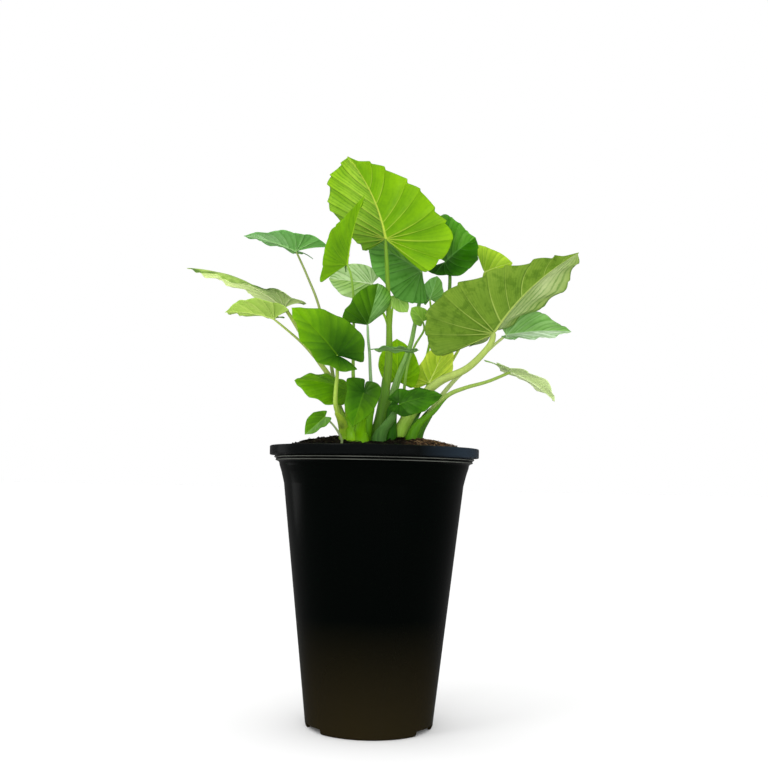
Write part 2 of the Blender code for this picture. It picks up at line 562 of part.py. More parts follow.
def build_stalk(name, leaf, parts):
    """A stalk: a tapering curve with a round section and closed ends."""
    path, radii = stalk_path(leaf)
    data = bpy.data.curves.new(f"leaf_{name}_stalk", "CURVE")
    data.dimensions = "3D"
    data.bevel_depth = 1.0 * MM
    data.bevel_resolution = 2 if leaf["stalk"][1] > 4.0 else 1
    data.use_fill_caps = True
    line = data.splines.new("POLY")
    line.points.add(len(path) - 1)
    for point, place, radius in zip(line.points, path, radii):
        point.co = (*(place * MM), 1.0)
        point.radius = radius
    return add_object(f"leaf_{name}_stalk", data, leaf["look_stalk"], parts)


def main():
    for item in list(bpy.data.objects):
        bpy.data.objects.remove(item, do_unlink=True)
    parts = bpy.data.collections.new("potted_alocasia")
    cutters = bpy.data.collections.new("cutters")
    for collection in (parts, cutters):
        bpy.context.scene.collection.children.link(collection)
    build_pot(parts, cutters)
    build_soil(parts, cutters)
    for name, leaf in LEAVES.items():
        build_blade(name, leaf, parts)
        build_stalk(name, leaf, parts)


main()
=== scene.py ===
# %% [markdown]
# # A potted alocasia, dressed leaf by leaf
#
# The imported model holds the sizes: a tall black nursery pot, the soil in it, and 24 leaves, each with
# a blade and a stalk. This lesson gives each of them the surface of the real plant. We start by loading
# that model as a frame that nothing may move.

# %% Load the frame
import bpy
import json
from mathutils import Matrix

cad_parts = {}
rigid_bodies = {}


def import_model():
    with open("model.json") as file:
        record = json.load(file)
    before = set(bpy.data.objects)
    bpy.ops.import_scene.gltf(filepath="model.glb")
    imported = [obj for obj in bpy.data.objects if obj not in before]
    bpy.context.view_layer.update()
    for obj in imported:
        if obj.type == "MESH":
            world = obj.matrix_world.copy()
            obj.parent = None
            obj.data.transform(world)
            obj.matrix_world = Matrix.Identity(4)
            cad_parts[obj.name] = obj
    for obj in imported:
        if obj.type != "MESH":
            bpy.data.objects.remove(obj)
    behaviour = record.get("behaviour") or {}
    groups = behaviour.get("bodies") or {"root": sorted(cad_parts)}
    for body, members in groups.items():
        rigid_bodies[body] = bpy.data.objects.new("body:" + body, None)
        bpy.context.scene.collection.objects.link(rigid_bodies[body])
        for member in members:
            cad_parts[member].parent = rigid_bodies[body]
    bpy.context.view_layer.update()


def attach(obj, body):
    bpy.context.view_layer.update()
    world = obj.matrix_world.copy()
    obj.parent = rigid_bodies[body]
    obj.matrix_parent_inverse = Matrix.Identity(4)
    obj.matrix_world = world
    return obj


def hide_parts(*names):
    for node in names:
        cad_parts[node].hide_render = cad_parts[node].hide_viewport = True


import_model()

# %% [markdown]
# We work in millimetres, as a gardener would measure, and turn the numbers into metres
# only where a mesh is made. One seeded source of chance serves the whole script, so that
# every run gives the same plant.

# %% Units and chance
import json
from math import cos, exp, pi, radians, sin

import bmesh
import bpy
import numpy as np
from mathutils import Matrix, Vector, noise

MM = 0.001
chance = np.random.default_rng(7)
print("one millimetre is", MM, "m")

# %% [markdown]
# ## The camera
#
# The photo was taken from 1.2 m in front of the pot, from about the height of its
# belly, with the camera tipped up by 5.7 degrees and turned by a little over one
# degree. A lens of 46.9 mm on a 36 mm sensor gives the same width of view. There is no
# blur from depth, because the whole plant is sharp in the photo. The picture is
# developed plainly, so that fresh greens stay fresh and the white ground stays white.

# %% Set the camera
CAMERA_PLACE = (0.0098, -1.203, 0.2815)
CAMERA_PITCH = 95.67
CAMERA_ROLL = 1.16
LENS, SENSOR = 46.875, 36.0


def placed(name, data):
    """A new object in the scene, with its data."""
    made = bpy.data.objects.new(name, data)
    bpy.context.scene.collection.objects.link(made)
    return made


camera_data = bpy.data.cameras.new("photo_view")
camera_data.lens, camera_data.sensor_width, camera_data.clip_end = LENS, SENSOR, 60.0
camera = placed("photo_view", camera_data)
camera.matrix_world = (
    Matrix.Translation(CAMERA_PLACE)
    @ Matrix.Rotation(radians(CAMERA_PITCH), 4, "X")
    @ Matrix.Rotation(radians(CAMERA_ROLL), 4, "Z")
)
bpy.context.scene.camera = camera
bpy.context.scene.view_settings.view_transform = "Standard"
print("camera at", CAMERA_PLACE)

# %% [markdown]
# ## Shaders as arithmetic
#
# A shader is a chain of small steps. We wrap what comes out of a step as a signal, so
# that it can be added, multiplied, stretched and mixed like a plain number.

# %% Shader tools
class Signal:
    """What comes out of a shader's node, ready for arithmetic."""

    def __init__(self, node, output=0):
        self.socket, self.tree = node.outputs[output], node.id_data

    def step(self, kind, *values):
        """One step of arithmetic on the given numbers and signals."""
        return Signal(add_node(self.tree, "ShaderNodeMath", enumerate(values), operation=kind))

    def __add__(self, other):
        return self.step("ADD", self, other)

    def __rsub__(self, other):
        return self.step("SUBTRACT", other, self)

    def __mul__(self, other):
        return self.step("MULTIPLY", self, other)

    def __truediv__(self, other):
        return self.step("DIVIDE", self, other)

    def spread(self, low, high, bottom=0.0, top=1.0):
        """This value stretched from low..high to bottom..top, and held there."""
        values = enumerate((self, low, high, bottom, top))
        return Signal(add_node(self.tree, "ShaderNodeMapRange", values))


def feed(value, socket):
    """Gives a socket a signal, a number or a colour."""
    if isinstance(value, Signal):
        value.tree.links.new(value.socket, socket)
    else:
        socket.default_value = value


def add_node(tree, kind, inputs=(), **settings):
    """A node with its settings, and with what its inputs are fed."""
    node = tree.nodes.new(kind)
    for key, value in settings.items():
        setattr(node, key, value)
    for key, value in dict(inputs).items():
        feed(value, node.inputs[key])
    return node


def between(share, first, second):
    """The number between two numbers, by a signal."""
    return Signal(add_node(share.tree, "ShaderNodeMix", {0: share, 2: first, 3: second}))


def mixed(share, first, second, blend="MIX"):
    """The colour between two colours, by a signal."""
    node = add_node(share.tree, "ShaderNodeMix", {0: share, 6: first, 7: second},
                    data_type="RGBA", blend_type=blend)
    return Signal(node, 2)


def tinted(share, colour, tint):
    """A colour multiplied by a tint, by a signal."""
    return mixed(share, colour, (*tint, 1.0), "MULTIPLY")


def axes(tree, kind="Object"):
    """The three coordinates, each as a signal."""
    place = Signal(add_node(tree, "ShaderNodeTexCoord"), kind)
    node = add_node(tree, "ShaderNodeSeparateXYZ", {0: place})
    return [Signal(node, number) for number in range(3)]


def cloudy(tree, scale, detail=4.0, roughness=0.55, stretch=(1.0, 1.0, 1.0)):
    """Soft three-dimensional noise that is fixed to the piece."""
    place = Signal(add_node(tree, "ShaderNodeTexCoord"), "Object")
    laid = Signal(add_node(tree, "ShaderNodeMapping", {"Vector": place, "Scale": stretch}))
    node = add_node(tree, "ShaderNodeTexNoise", {
        "Vector": laid, "Scale": scale, "Detail": detail, "Roughness": roughness})
    return Signal(node, "Fac")


def mark_of(tree, label):
    """The number that a mesh keeps under this name for each of its points."""
    return Signal(add_node(tree, "ShaderNodeAttribute", attribute_name=label), "Fac")


def raised(shader, height, strength, distance):
    """Turns a height into bumps on the shader's surface."""
    bump = add_node(height.tree, "ShaderNodeBump", {
        "Strength": strength, "Distance": distance, "Height": height})
    feed(Signal(bump), shader.inputs["Normal"])


def plain_shader(name, colour, roughness, specular):
    """A new material with one plain colour, and its main shader."""
    made = bpy.data.materials.new(name)
    made.use_nodes = True
    shader = made.node_tree.nodes["Principled BSDF"]
    feed((*colour, 1.0), shader.inputs["Base Color"])
    feed(roughness, shader.inputs["Roughness"])
    feed(specular, shader.inputs["Specular IOR Level"])
    return made, shader


print("shader tools ready")

# %% [markdown]
# ## The studio
#
# The photo has a white ground and soft light from all around. We make the studio like a
# white tent: a bright ceiling, a bright back and a dim front. It lights the leaves and
# the floor evenly, but it is dim in mirrors, so the black pot stays black and the greens
# stay deep. A key lamp at the upper left adds the sheen on the leaves, a broad fill from
# the camera's side reaches into the plant, and tall, weak strips draw the long streaks
# on the pot.

# %% Floor and tent
PAPER, PAPER_MIRRORED = 0.93, 0.1
BACKDROP, MIRRORED = 1.0, 0.16
FRONT_LIGHT, BACK_LIGHT, CEILING_LIGHT = 0.5, 0.6, 0.8
FLOOR_CORNERS = [(-30, -6, 0), (30, -6, 0), (30, 50, 0), (-30, 50, 0)]

floor_mesh = bpy.data.meshes.new("floor")
floor_mesh.from_pydata(FLOOR_CORNERS, [], [(0, 1, 2, 3)])
floor = placed("floor", floor_mesh)
floor_white, shader = plain_shader("floor_white", (PAPER,) * 3, 0.9, 0.0)
in_mirror = Signal(add_node(shader.id_data, "ShaderNodeLightPath"), "Is Glossy Ray")
paper = mixed(in_mirror, (*(PAPER,) * 3, 1.0), (*(PAPER_MIRRORED,) * 3, 1.0))
feed(paper, shader.inputs["Base Color"])
floor_mesh.materials.append(floor_white)

world = bpy.data.worlds.new("tent")
world.use_nodes = True
tree = world.node_tree
_, depth, height = axes(tree, "Generated")
light = depth.spread(-0.7, 0.7, FRONT_LIGHT, BACK_LIGHT) + height.spread(0.0, 1.0, 0.0, CEILING_LIGHT)
light_path = add_node(tree, "ShaderNodeLightPath")
dimmed = between(Signal(light_path, "Is Glossy Ray"), light, light * MIRRORED)
seen = between(Signal(light_path, "Is Camera Ray"), dimmed, BACKDROP)
background = tree.nodes["Background"]
feed(seen, background.inputs["Strength"])
feed((1.0, 1.0, 1.0, 1.0), background.inputs["Color"])
bpy.context.scene.world = world
print("backdrop", BACKDROP, "ceiling", CEILING_LIGHT)

# %% Lamps
# Each lamp: its place, the point that it faces, its width, its height and its power.
LAMPS = {
    "key": ((-1.3, -1.1, 1.8), (0.0, 0.0, 0.45), 0.7, 0.7, 8.0),
    "fill": ((0.05, -1.8, 0.4), (0.0, 0.0, 0.42), 1.4, 0.9, 20.0),
    "left_strip": ((-1.3, 0.55, 0.3), (0.0, 0.0, 0.2), 0.5, 0.9, 0.6),
    "right_strip": ((0.9, -1.2, 0.2), (0.0, 0.0, 0.15), 0.2, 0.8, 0.25),
}


def add_lamp(name, place, aim, width, height, watts):
    """A soft lamp that faces a point."""
    data = bpy.data.lights.new(name, "AREA")
    data.shape, data.size, data.size_y, data.energy = "RECTANGLE", width, height, watts
    lamp = placed(name, data)
    lamp.location = place
    lamp.rotation_mode = "QUATERNION"
    lamp.rotation_quaternion = Vector(np.subtract(aim, place)).to_track_quat("-Z", "Y")
    lamp.visible_glossy = name != "fill"


for name, values in LAMPS.items():
    add_lamp(name, *values)
print("lamps:", ", ".join(LAMPS))

# %% [markdown]
# ## Helpers for pieces
#
# Every piece goes through the same door: it gets its mesh, its finish, the body that carries it, and
# the solid that it stands for.

# %% Add a piece
def add_piece(name, mesh, finishes, replaced):
    """A piece that rides on the model's one body and stands for the named solid."""
    piece = placed(name, mesh)
    for finish in finishes:
        mesh.materials.append(finish)
    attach(piece, "root")
    if replaced:
        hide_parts(replaced)
    return piece


def smooth_mesh(name, points, faces, sharp_degrees=None):
    """A smooth-shaded mesh from points in mm, with edges kept sharp past an angle."""
    mesh = bpy.data.meshes.new(name)
    mesh.from_pydata([tuple(point) for point in np.asarray(points) * MM], [], faces)
    mesh.shade_smooth()
    if sharp_degrees:
        mesh.set_sharp_from_angle(angle=radians(sharp_degrees))
    return mesh


def unit(vector):
    """The same direction, one long."""
    return vector / np.linalg.norm(vector)


print("helpers ready")

# %% [markdown]
# ## Colours as the eye reads them
#
# A gardener's eye names colours as they look on a screen, from 0 to 255. The shader
# wants the share of light that comes back. So we turn each screen colour into light,
# and deepen it a little, because the sheen of a waxy leaf adds some white to it.

# %% Screen colour to light
DEEPER = 1.08


def light_of(red, green, blue):
    """The share of light that a surface of this screen colour gives back."""
    shares = np.clip(np.array([red, green, blue]), 0, 240) / 255.0
    linear = np.where(shares <= 0.04045, shares / 12.92, ((shares + 0.055) / 1.055) ** 2.4)
    grey = np.dot(linear, (0.2126, 0.7152, 0.0722))
    return (*np.clip(grey + DEEPER * (linear - grey), 0.0, 0.95), 1.0)


print("mid green in light:", [round(c, 3) for c in light_of(80, 150, 20)])

# %% [markdown]
# ## The pot
#
# The real pot is one thin moulded shell of black plastic. Its rim is folded outward and
# down, so it shows two bands with a ledge between, and its foot is cut by wide, low
# notches. It is a turned form, so one profile is enough: we carry it round the axis in
# fine steps and then cut the notches and the drain holes out of it.

# %% Turn a profile
def lathe(profile, spokes):
    """Points and faces of a profile of (radius, height) turned about the axis."""
    points, rings, faces = [], [], []
    for radius, height in profile:
        if radius < 1e-6:
            rings.append([len(points)] * spokes)
            points.append((0.0, 0.0, height))
            continue
        rings.append(range(len(points), len(points) + spokes))
        turns = (2 * pi * step / spokes for step in range(spokes))
        points.extend((radius * cos(turn), radius * sin(turn), height) for turn in turns)
    for low, high in zip(rings, rings[1:]):
        for step in range(spokes):
            after = (step + 1) % spokes
            kept = tuple(dict.fromkeys((low[step], high[step], high[after], low[after])))
            if len(kept) > 2:
                faces.append(kept)
    return points, faces


def softened(profile, reach):
    """The profile with each inner corner cut by a small bevel."""
    found = [profile[0]]
    for before, corner, after in zip(profile, profile[1:], profile[2:]):
        for end in (before, after):
            way = np.subtract(end, corner)
            length = np.linalg.norm(way)
            found.append(tuple(corner + way / length * min(reach, 0.33 * length)))
    return [*found, profile[-1]]


POT_HEIGHT, RIM_RADIUS, RIM_INNER_RADIUS = 323.7, 125.0, 116.8
BASE_RADIUS, TAPER, WALL, WALL_TOP = 74.2, 0.1174, 2.0, 280.0
FLOOR_UNDERSIDE, FLOOR_TOP, DISH_RADIUS, DISH_WALL = 6.0, 8.2, 26.0, 2.2
POT_PROFILE = [
    (0.0, DISH_WALL), (DISH_RADIUS - DISH_WALL, DISH_WALL),
    (DISH_RADIUS - DISH_WALL + 4.0, FLOOR_TOP),
    (BASE_RADIUS + TAPER * FLOOR_TOP - WALL, FLOOR_TOP),
    (BASE_RADIUS + TAPER * WALL_TOP - WALL, WALL_TOP), (108.2, 293.0), (110.4, 304.6),
    (111.0, 306.0), (114.8, 310.8), (116.4, 312.6), (RIM_INNER_RADIUS, 314.0),
    (117.2, 322.6), (118.0, POT_HEIGHT), (124.2, POT_HEIGHT), (RIM_RADIUS, 322.8),
    (124.9, 313.3), (124.2, 312.8), (123.2, 313.2), (122.9, 321.2), (119.8, 321.2),
    (119.4, 312.4), (118.6, 311.5), (119.5, 310.9), (119.6, 310.2), (118.9, 309.7),
    (117.5, 309.2), (117.2, 308.2), (117.9, 307.6), (117.9, 306.8), (117.2, 306.3),
    (114.6, 305.4), (113.4, 304.0), (112.8, 300.5), (110.3, 293.0),
    (BASE_RADIUS + TAPER * WALL_TOP, WALL_TOP),
    (BASE_RADIUS + TAPER * 3.0, 3.0), (BASE_RADIUS - 0.6, 1.0), (BASE_RADIUS - 2.0, 0.0),
    (BASE_RADIUS - 4.2, 0.0), (BASE_RADIUS - 4.6, FLOOR_UNDERSIDE),
    (DISH_RADIUS + 4.0, FLOOR_UNDERSIDE), (DISH_RADIUS, 0.0), (0.0, 0.0),
]
BEVEL, POT_SPOKES = 0.35, 144
pot_points, pot_faces = lathe(softened(POT_PROFILE, BEVEL), POT_SPOKES)
pot_mesh = smooth_mesh("pot_moulded", pot_points, pot_faces)
print("pot faces before the cuts:", len(pot_faces))

# %% [markdown]
# The plastic is not quite black and not quite even. It is a deep black with a soft gloss, a painted
# bluish sheen on the right of the rim, and a warm brown low down, a painted reflection of a warm floor.
# The two beads below the rim get paler patches, a painted highlight along their edges. Fine marks from
# the mould run up and down, so the roughness is varied and the wall is very slightly wavy.

# %% The black plastic
pot_black, shader = plain_shader("pot_black_plastic", (0.001, 0.001, 0.001), 0.22, 0.115)
tree = shader.id_data
across, _, height = axes(tree)
# A warm brown low down on the wall: a painted reflection of a warm floor.
body = mixed(height.spread(0.13, 0.0), light_of(0, 2, 1), light_of(33, 28, 15))
# A bluish painted sheen on the right side of the rim.
rim = mixed(across.spread(0.05, 0.105), light_of(8, 10, 10), light_of(34, 43, 52))
body = mixed(height.spread(0.311, 0.313), body, rim)
# Paler patches on the two beads: a painted highlight along their edges.
for low, high in ((0.3097, 0.3107), (0.3065, 0.3075)):
    on_bead = height.step("COMPARE", height, (low + high) / 2, (high - low) / 2)
    painted_bead_highlight = cloudy(tree, 9.0, 3.0, 0.6).spread(0.35, 0.6, 0.25, 0.9)
    body = mixed(on_bead * painted_bead_highlight, body, light_of(92, 94, 88))
dust = cloudy(tree, 16.0, 8.0, 0.7).spread(0.58, 0.85) * 0.012
feed(mixed(dust, body, light_of(70, 66, 56)), shader.inputs["Base Color"])
streaks = cloudy(tree, 30.0, 6.0, 0.6, (1.0, 1.0, 0.12))
feed(streaks.spread(0.3, 0.75, 0.16, 0.32), shader.inputs["Roughness"])
raised(shader, cloudy(tree, 7.0, 3.0, 0.5, (1.0, 1.0, 0.35)), 0.25, 0.004)
print("plastic finish made")

# %% Notches, drain holes and the finished pot
NOTCH_SIZE, NOTCH_TURNS = (38.0, 14.0, 12.0), (-61.0, 61.0, 180.0)
DRAINS, DRAIN_RADIUS, DRAIN_REACH = 6, 6.0, 50.0
SHARP_DEGREES = 32


def cut_out(piece, shapes):
    """Takes shapes, made as bmesh calls, out of a piece, and keeps the plain result."""
    for number, shape in enumerate(shapes):
        mesh = bpy.data.meshes.new(f"cutter_{number}")
        shape.to_mesh(mesh)
        shape.free()
        cutter = placed(f"cutter_{number}", mesh)
        boolean = piece.modifiers.new("cut", "BOOLEAN")
        boolean.operation, boolean.solver, boolean.object = "DIFFERENCE", "EXACT", cutter
        depsgraph = bpy.context.evaluated_depsgraph_get()
        done = bpy.data.meshes.new_from_object(piece.evaluated_get(depsgraph))
        piece.modifiers.clear()
        piece.data = done
        bpy.data.objects.remove(cutter, do_unlink=True)


def notch_shape(degrees):
    """A block across the foot ring."""
    shape = bmesh.new()
    turn = radians(degrees)
    bmesh.ops.create_cube(shape, size=1.0, matrix=(
        Matrix.Translation((BASE_RADIUS * sin(turn) * MM, -BASE_RADIUS * cos(turn) * MM, 0.0))
        @ Matrix.Rotation(turn, 4, "Z")
        @ Matrix.Diagonal((*(side * MM for side in NOTCH_SIZE), 1.0))
    ))
    return shape


def drain_shape(number):
    """A round bar through the floor."""
    shape = bmesh.new()
    turn = 2 * pi * number / DRAINS
    place = np.array((DRAIN_REACH * cos(turn), DRAIN_REACH * sin(turn), 7.0)) * MM
    bmesh.ops.create_cone(
        shape, cap_ends=True, segments=32, radius1=DRAIN_RADIUS * MM,
        radius2=DRAIN_RADIUS * MM, depth=12.0 * MM, matrix=Matrix.Translation(place))
    return shape


pot = add_piece("pot_moulded", pot_mesh, [pot_black], "pot")
cut_out(pot, [notch_shape(degrees) for degrees in NOTCH_TURNS])
cut_out(pot, [drain_shape(number) for number in range(DRAINS)])
pot.data.shade_smooth()
pot.data.set_sharp_from_angle(angle=radians(SHARP_DEGREES))
print("pot faces:", len(pot.data.polygons))

# %% [markdown]
# ## The soil
#
# Potting soil is a loose mix of bark, peat and coir. It fills the pot and is heaped a
# little above the rim, higher toward the stems. A fine sheet with clods on it, raised by
# layered noise, carries the shape, and loose crumbs and fibres lie on top of it.

# %% The heap
SOIL_PEAK, SOIL_FALL = 336.8, 16.5
SOIL_REACH, SOIL_EDGE, SOIL_SPOKES, SOIL_RINGS = 112.0, 114.5, 300, 100
HOLLOW_PLACE, HOLLOW_REACH, HOLLOW_DEPTH = (-8.0, -62.0), 46.0, 8.0


def soil_height(x, y):
    """The height of the heap in mm: uneven, with a hollow in front of the stems."""
    reach = (x * x + y * y) ** 0.5 / SOIL_REACH
    heap = SOIL_PEAK - SOIL_FALL * min(1.0, reach) ** 3
    clods = 0.8 * sin(0.11 * x + 1.3) * cos(0.13 * y) + 0.6 * sin(0.23 * x - 0.19 * y + 0.6)
    away = ((x - HOLLOW_PLACE[0]) ** 2 + (y - HOLLOW_PLACE[1]) ** 2) / HOLLOW_REACH**2
    return heap + (clods - HOLLOW_DEPTH * exp(-away)) * max(0.0, 1.0 - reach**4)


def clod_height(x, y):
    """The heap with its fine clods."""
    reach = min(1.0, (x * x + y * y) ** 0.5 / (SOIL_REACH + 1.0))
    rough = noise.fractal((x * 0.09, y * 0.09, 2.0), 0.9, 2.1, 5)
    pits = noise.cell((x * 0.22, y * 0.22, 5.0))
    return soil_height(x, y) + (2.0 * rough + 0.8 * (pits - 0.5)) * (1.0 - 0.6 * reach**6)


inside = WALL + 0.5
SOIL_SIDE = [
    (116.2, 318.0), (116.0, 314.4), (114.4, 311.2), (110.2, 306.0), (107.7, 293.0),
    (BASE_RADIUS + TAPER * WALL_TOP - inside, WALL_TOP), (BASE_RADIUS + TAPER * 9.0 - inside, 8.7),
    (DISH_RADIUS - DISH_WALL + 3.6, 8.7), (DISH_RADIUS - DISH_WALL - 0.7, DISH_WALL + 0.5),
    (0.0, DISH_WALL + 0.5),
]
soil_rings = [(SOIL_EDGE * share, SOIL_PEAK) for share in np.linspace(0.0, 1.0, SOIL_RINGS)]
soil_points, soil_faces = lathe([*soil_rings, *SOIL_SIDE], SOIL_SPOKES)
soil_points = [
    (x, y, clod_height(x, y)) if z == SOIL_PEAK else (x, y, z) for x, y, z in soil_points
]
print("soil faces:", len(soil_faces))

# %% The soil's finish
def with_painted_shade_left(colour):
    """The same colour, darkened to nearly black on the left of the plant, a painted shade."""
    return tinted(axes(colour.tree)[0].spread(0.058, 0.03), colour, (0.08, 0.09, 0.08))


soil_brown, shader = plain_shader("soil_brown", (0.05, 0.03, 0.018), 0.95, 0.15)
tree = shader.id_data
grain = cloudy(tree, 420.0, 5.0, 0.7)
patches = cloudy(tree, 60.0, 4.0, 0.6).spread(0.35, 0.65)
brown = mixed(patches, light_of(30, 23, 17), light_of(62, 47, 34))
brown = mixed(grain.spread(0.5, 0.68), brown, light_of(128, 98, 70))
brown = mixed(grain.spread(0.46, 0.3), brown, light_of(16, 12, 10))
feed(with_painted_shade_left(brown), shader.inputs["Base Color"])
raised(shader, grain, 0.8, 0.0015)
soil = add_piece("soil_heap", smooth_mesh("soil_heap", soil_points, soil_faces),
                 [soil_brown], "soil")
print("soil finish made")

# %% [markdown]
# The crumbs are small broken bits of bark and peat. Each is a rough lump with few
# faces, half sunk in the heap. They lie thickest between the stems and the rim.

# %% Crumbs of bark
CRUMB_COUNT = 2600


def crumb(place, size, turn):
    """A squashed lump of six corners, in mm."""
    corners = np.array([(1, 0, 0), (0, 1, 0), (-1, 0, 0), (0, -1, 0), (0, 0, 1), (0, 0, -1)], float)
    corners *= size * chance.uniform(0.7, 1.2, (6, 1))
    spin = np.array([(cos(turn), -sin(turn), 0), (sin(turn), cos(turn), 0), (0, 0, 1)])
    faces = [(0, 1, 4), (1, 2, 4), (2, 3, 4), (3, 0, 4), (1, 0, 5), (2, 1, 5), (3, 2, 5), (0, 3, 5)]
    return corners @ spin.T + place, faces


def strewn(name, parts, finish, sharp_degrees=None):
    """One piece made of many small closed parts that lie on the soil."""
    points, faces = [], []
    for part_points, part_faces in parts:
        start = len(points)
        points.extend(part_points)
        faces.extend(tuple(start + corner for corner in face) for face in part_faces)
    mesh = smooth_mesh(name, points, faces, sharp_degrees)
    return add_piece(name, mesh, [finish], None)


crumbs = []
for _ in range(CRUMB_COUNT):
    reach, turn = SOIL_REACH * chance.uniform(0.0, 1.0) ** 0.5, chance.uniform(0.0, 2 * pi)
    x, y = reach * cos(turn), reach * sin(turn)
    size = chance.uniform(0.6, 1.5) * (2.2 if chance.uniform() < 0.06 else 1.0)
    shape = size * np.array([chance.uniform(0.9, 1.9), chance.uniform(0.6, 1.0), 0.55])
    place = np.array([x, y, clod_height(x, y) + 0.25 * size])
    crumbs.append(crumb(place, shape, chance.uniform(0.0, 2 * pi)))

crumb_brown, shader = plain_shader("crumb_brown", (0.06, 0.035, 0.02), 0.9, 0.2)
tone = cloudy(shader.id_data, 150.0, 2.0, 0.5).spread(0.35, 0.65)
feed(with_painted_shade_left(mixed(tone, light_of(30, 21, 16), light_of(104, 74, 50))), shader.inputs["Base Color"])
strewn("soil_crumbs", crumbs, crumb_brown, 20)
print("crumbs:", len(crumbs))

# %% [markdown]
# Coir fibres are thin, pale brown and curved. We bend each one gently over the heap and
# give it a round section with few sides.

# %% Coir fibres
FIBRE_COUNT, FIBRE_STEPS, FIBRE_RADIUS = 150, 8, 0.22


def tube(path, radii, sides):
    """Points and faces of a closed tube along a path, in mm."""
    path, radii = np.asarray(path, float), np.asarray(radii, float)
    along = np.gradient(path, axis=0)
    along /= np.linalg.norm(along, axis=1)[:, None]
    side = np.cross(along[0], (0.0, 0.0, 1.0))
    if np.linalg.norm(side) < 0.1:
        side = np.cross(along[0], (0.0, 1.0, 0.0))
    points, faces = [], []
    for place, way, radius in zip(path, along, radii):
        side = unit(side - np.dot(side, way) * way)
        other = np.cross(way, side)
        for step in range(sides):
            turn = 2 * pi * step / sides
            points.append(place + radius * (cos(turn) * side + sin(turn) * other))
    for low in range(0, len(points) - sides, sides):
        for step in range(sides):
            after = (step + 1) % sides
            faces.append((low + step, low + after, low + sides + after, low + sides + step))
    faces.append(tuple(range(sides))[::-1])
    faces.append(tuple(range(len(points) - sides, len(points))))
    return points, faces


fibres = []
for _ in range(FIBRE_COUNT):
    reach, turn = 108.0 * chance.uniform(0.1, 1.0) ** 0.5, chance.uniform(0.0, 2 * pi)
    x, y, way = reach * cos(turn), reach * sin(turn), chance.uniform(0.0, 2 * pi)
    length, bend = chance.uniform(8.0, 26.0), chance.uniform(-0.05, 0.05)
    path = []
    pace = length / FIBRE_STEPS
    for step in range(FIBRE_STEPS + 1):
        arch = 1.6 * sin(pi * step / FIBRE_STEPS) * chance.uniform(0.5, 1.0)
        path.append((x, y, clod_height(x, y) + 0.1 + arch))
        x, y, way = x + pace * cos(way), y + pace * sin(way), way + bend * pace
        if x * x + y * y > SOIL_REACH**2:
            break
    if len(path) >= 4:
        fibres.append(tube(path, [FIBRE_RADIUS] * len(path), 5))

fibre_tan, shader = plain_shader("fibre_tan", (0.25, 0.17, 0.09), 0.8, 0.5)
tone = cloudy(shader.id_data, 90.0, 2.0, 0.5)
feed(with_painted_shade_left(mixed(tone, light_of(92, 66, 40), light_of(178, 150, 106))), shader.inputs["Base Color"])
strewn("soil_fibres", fibres, fibre_tan)
print("fibres:", len(fibres))
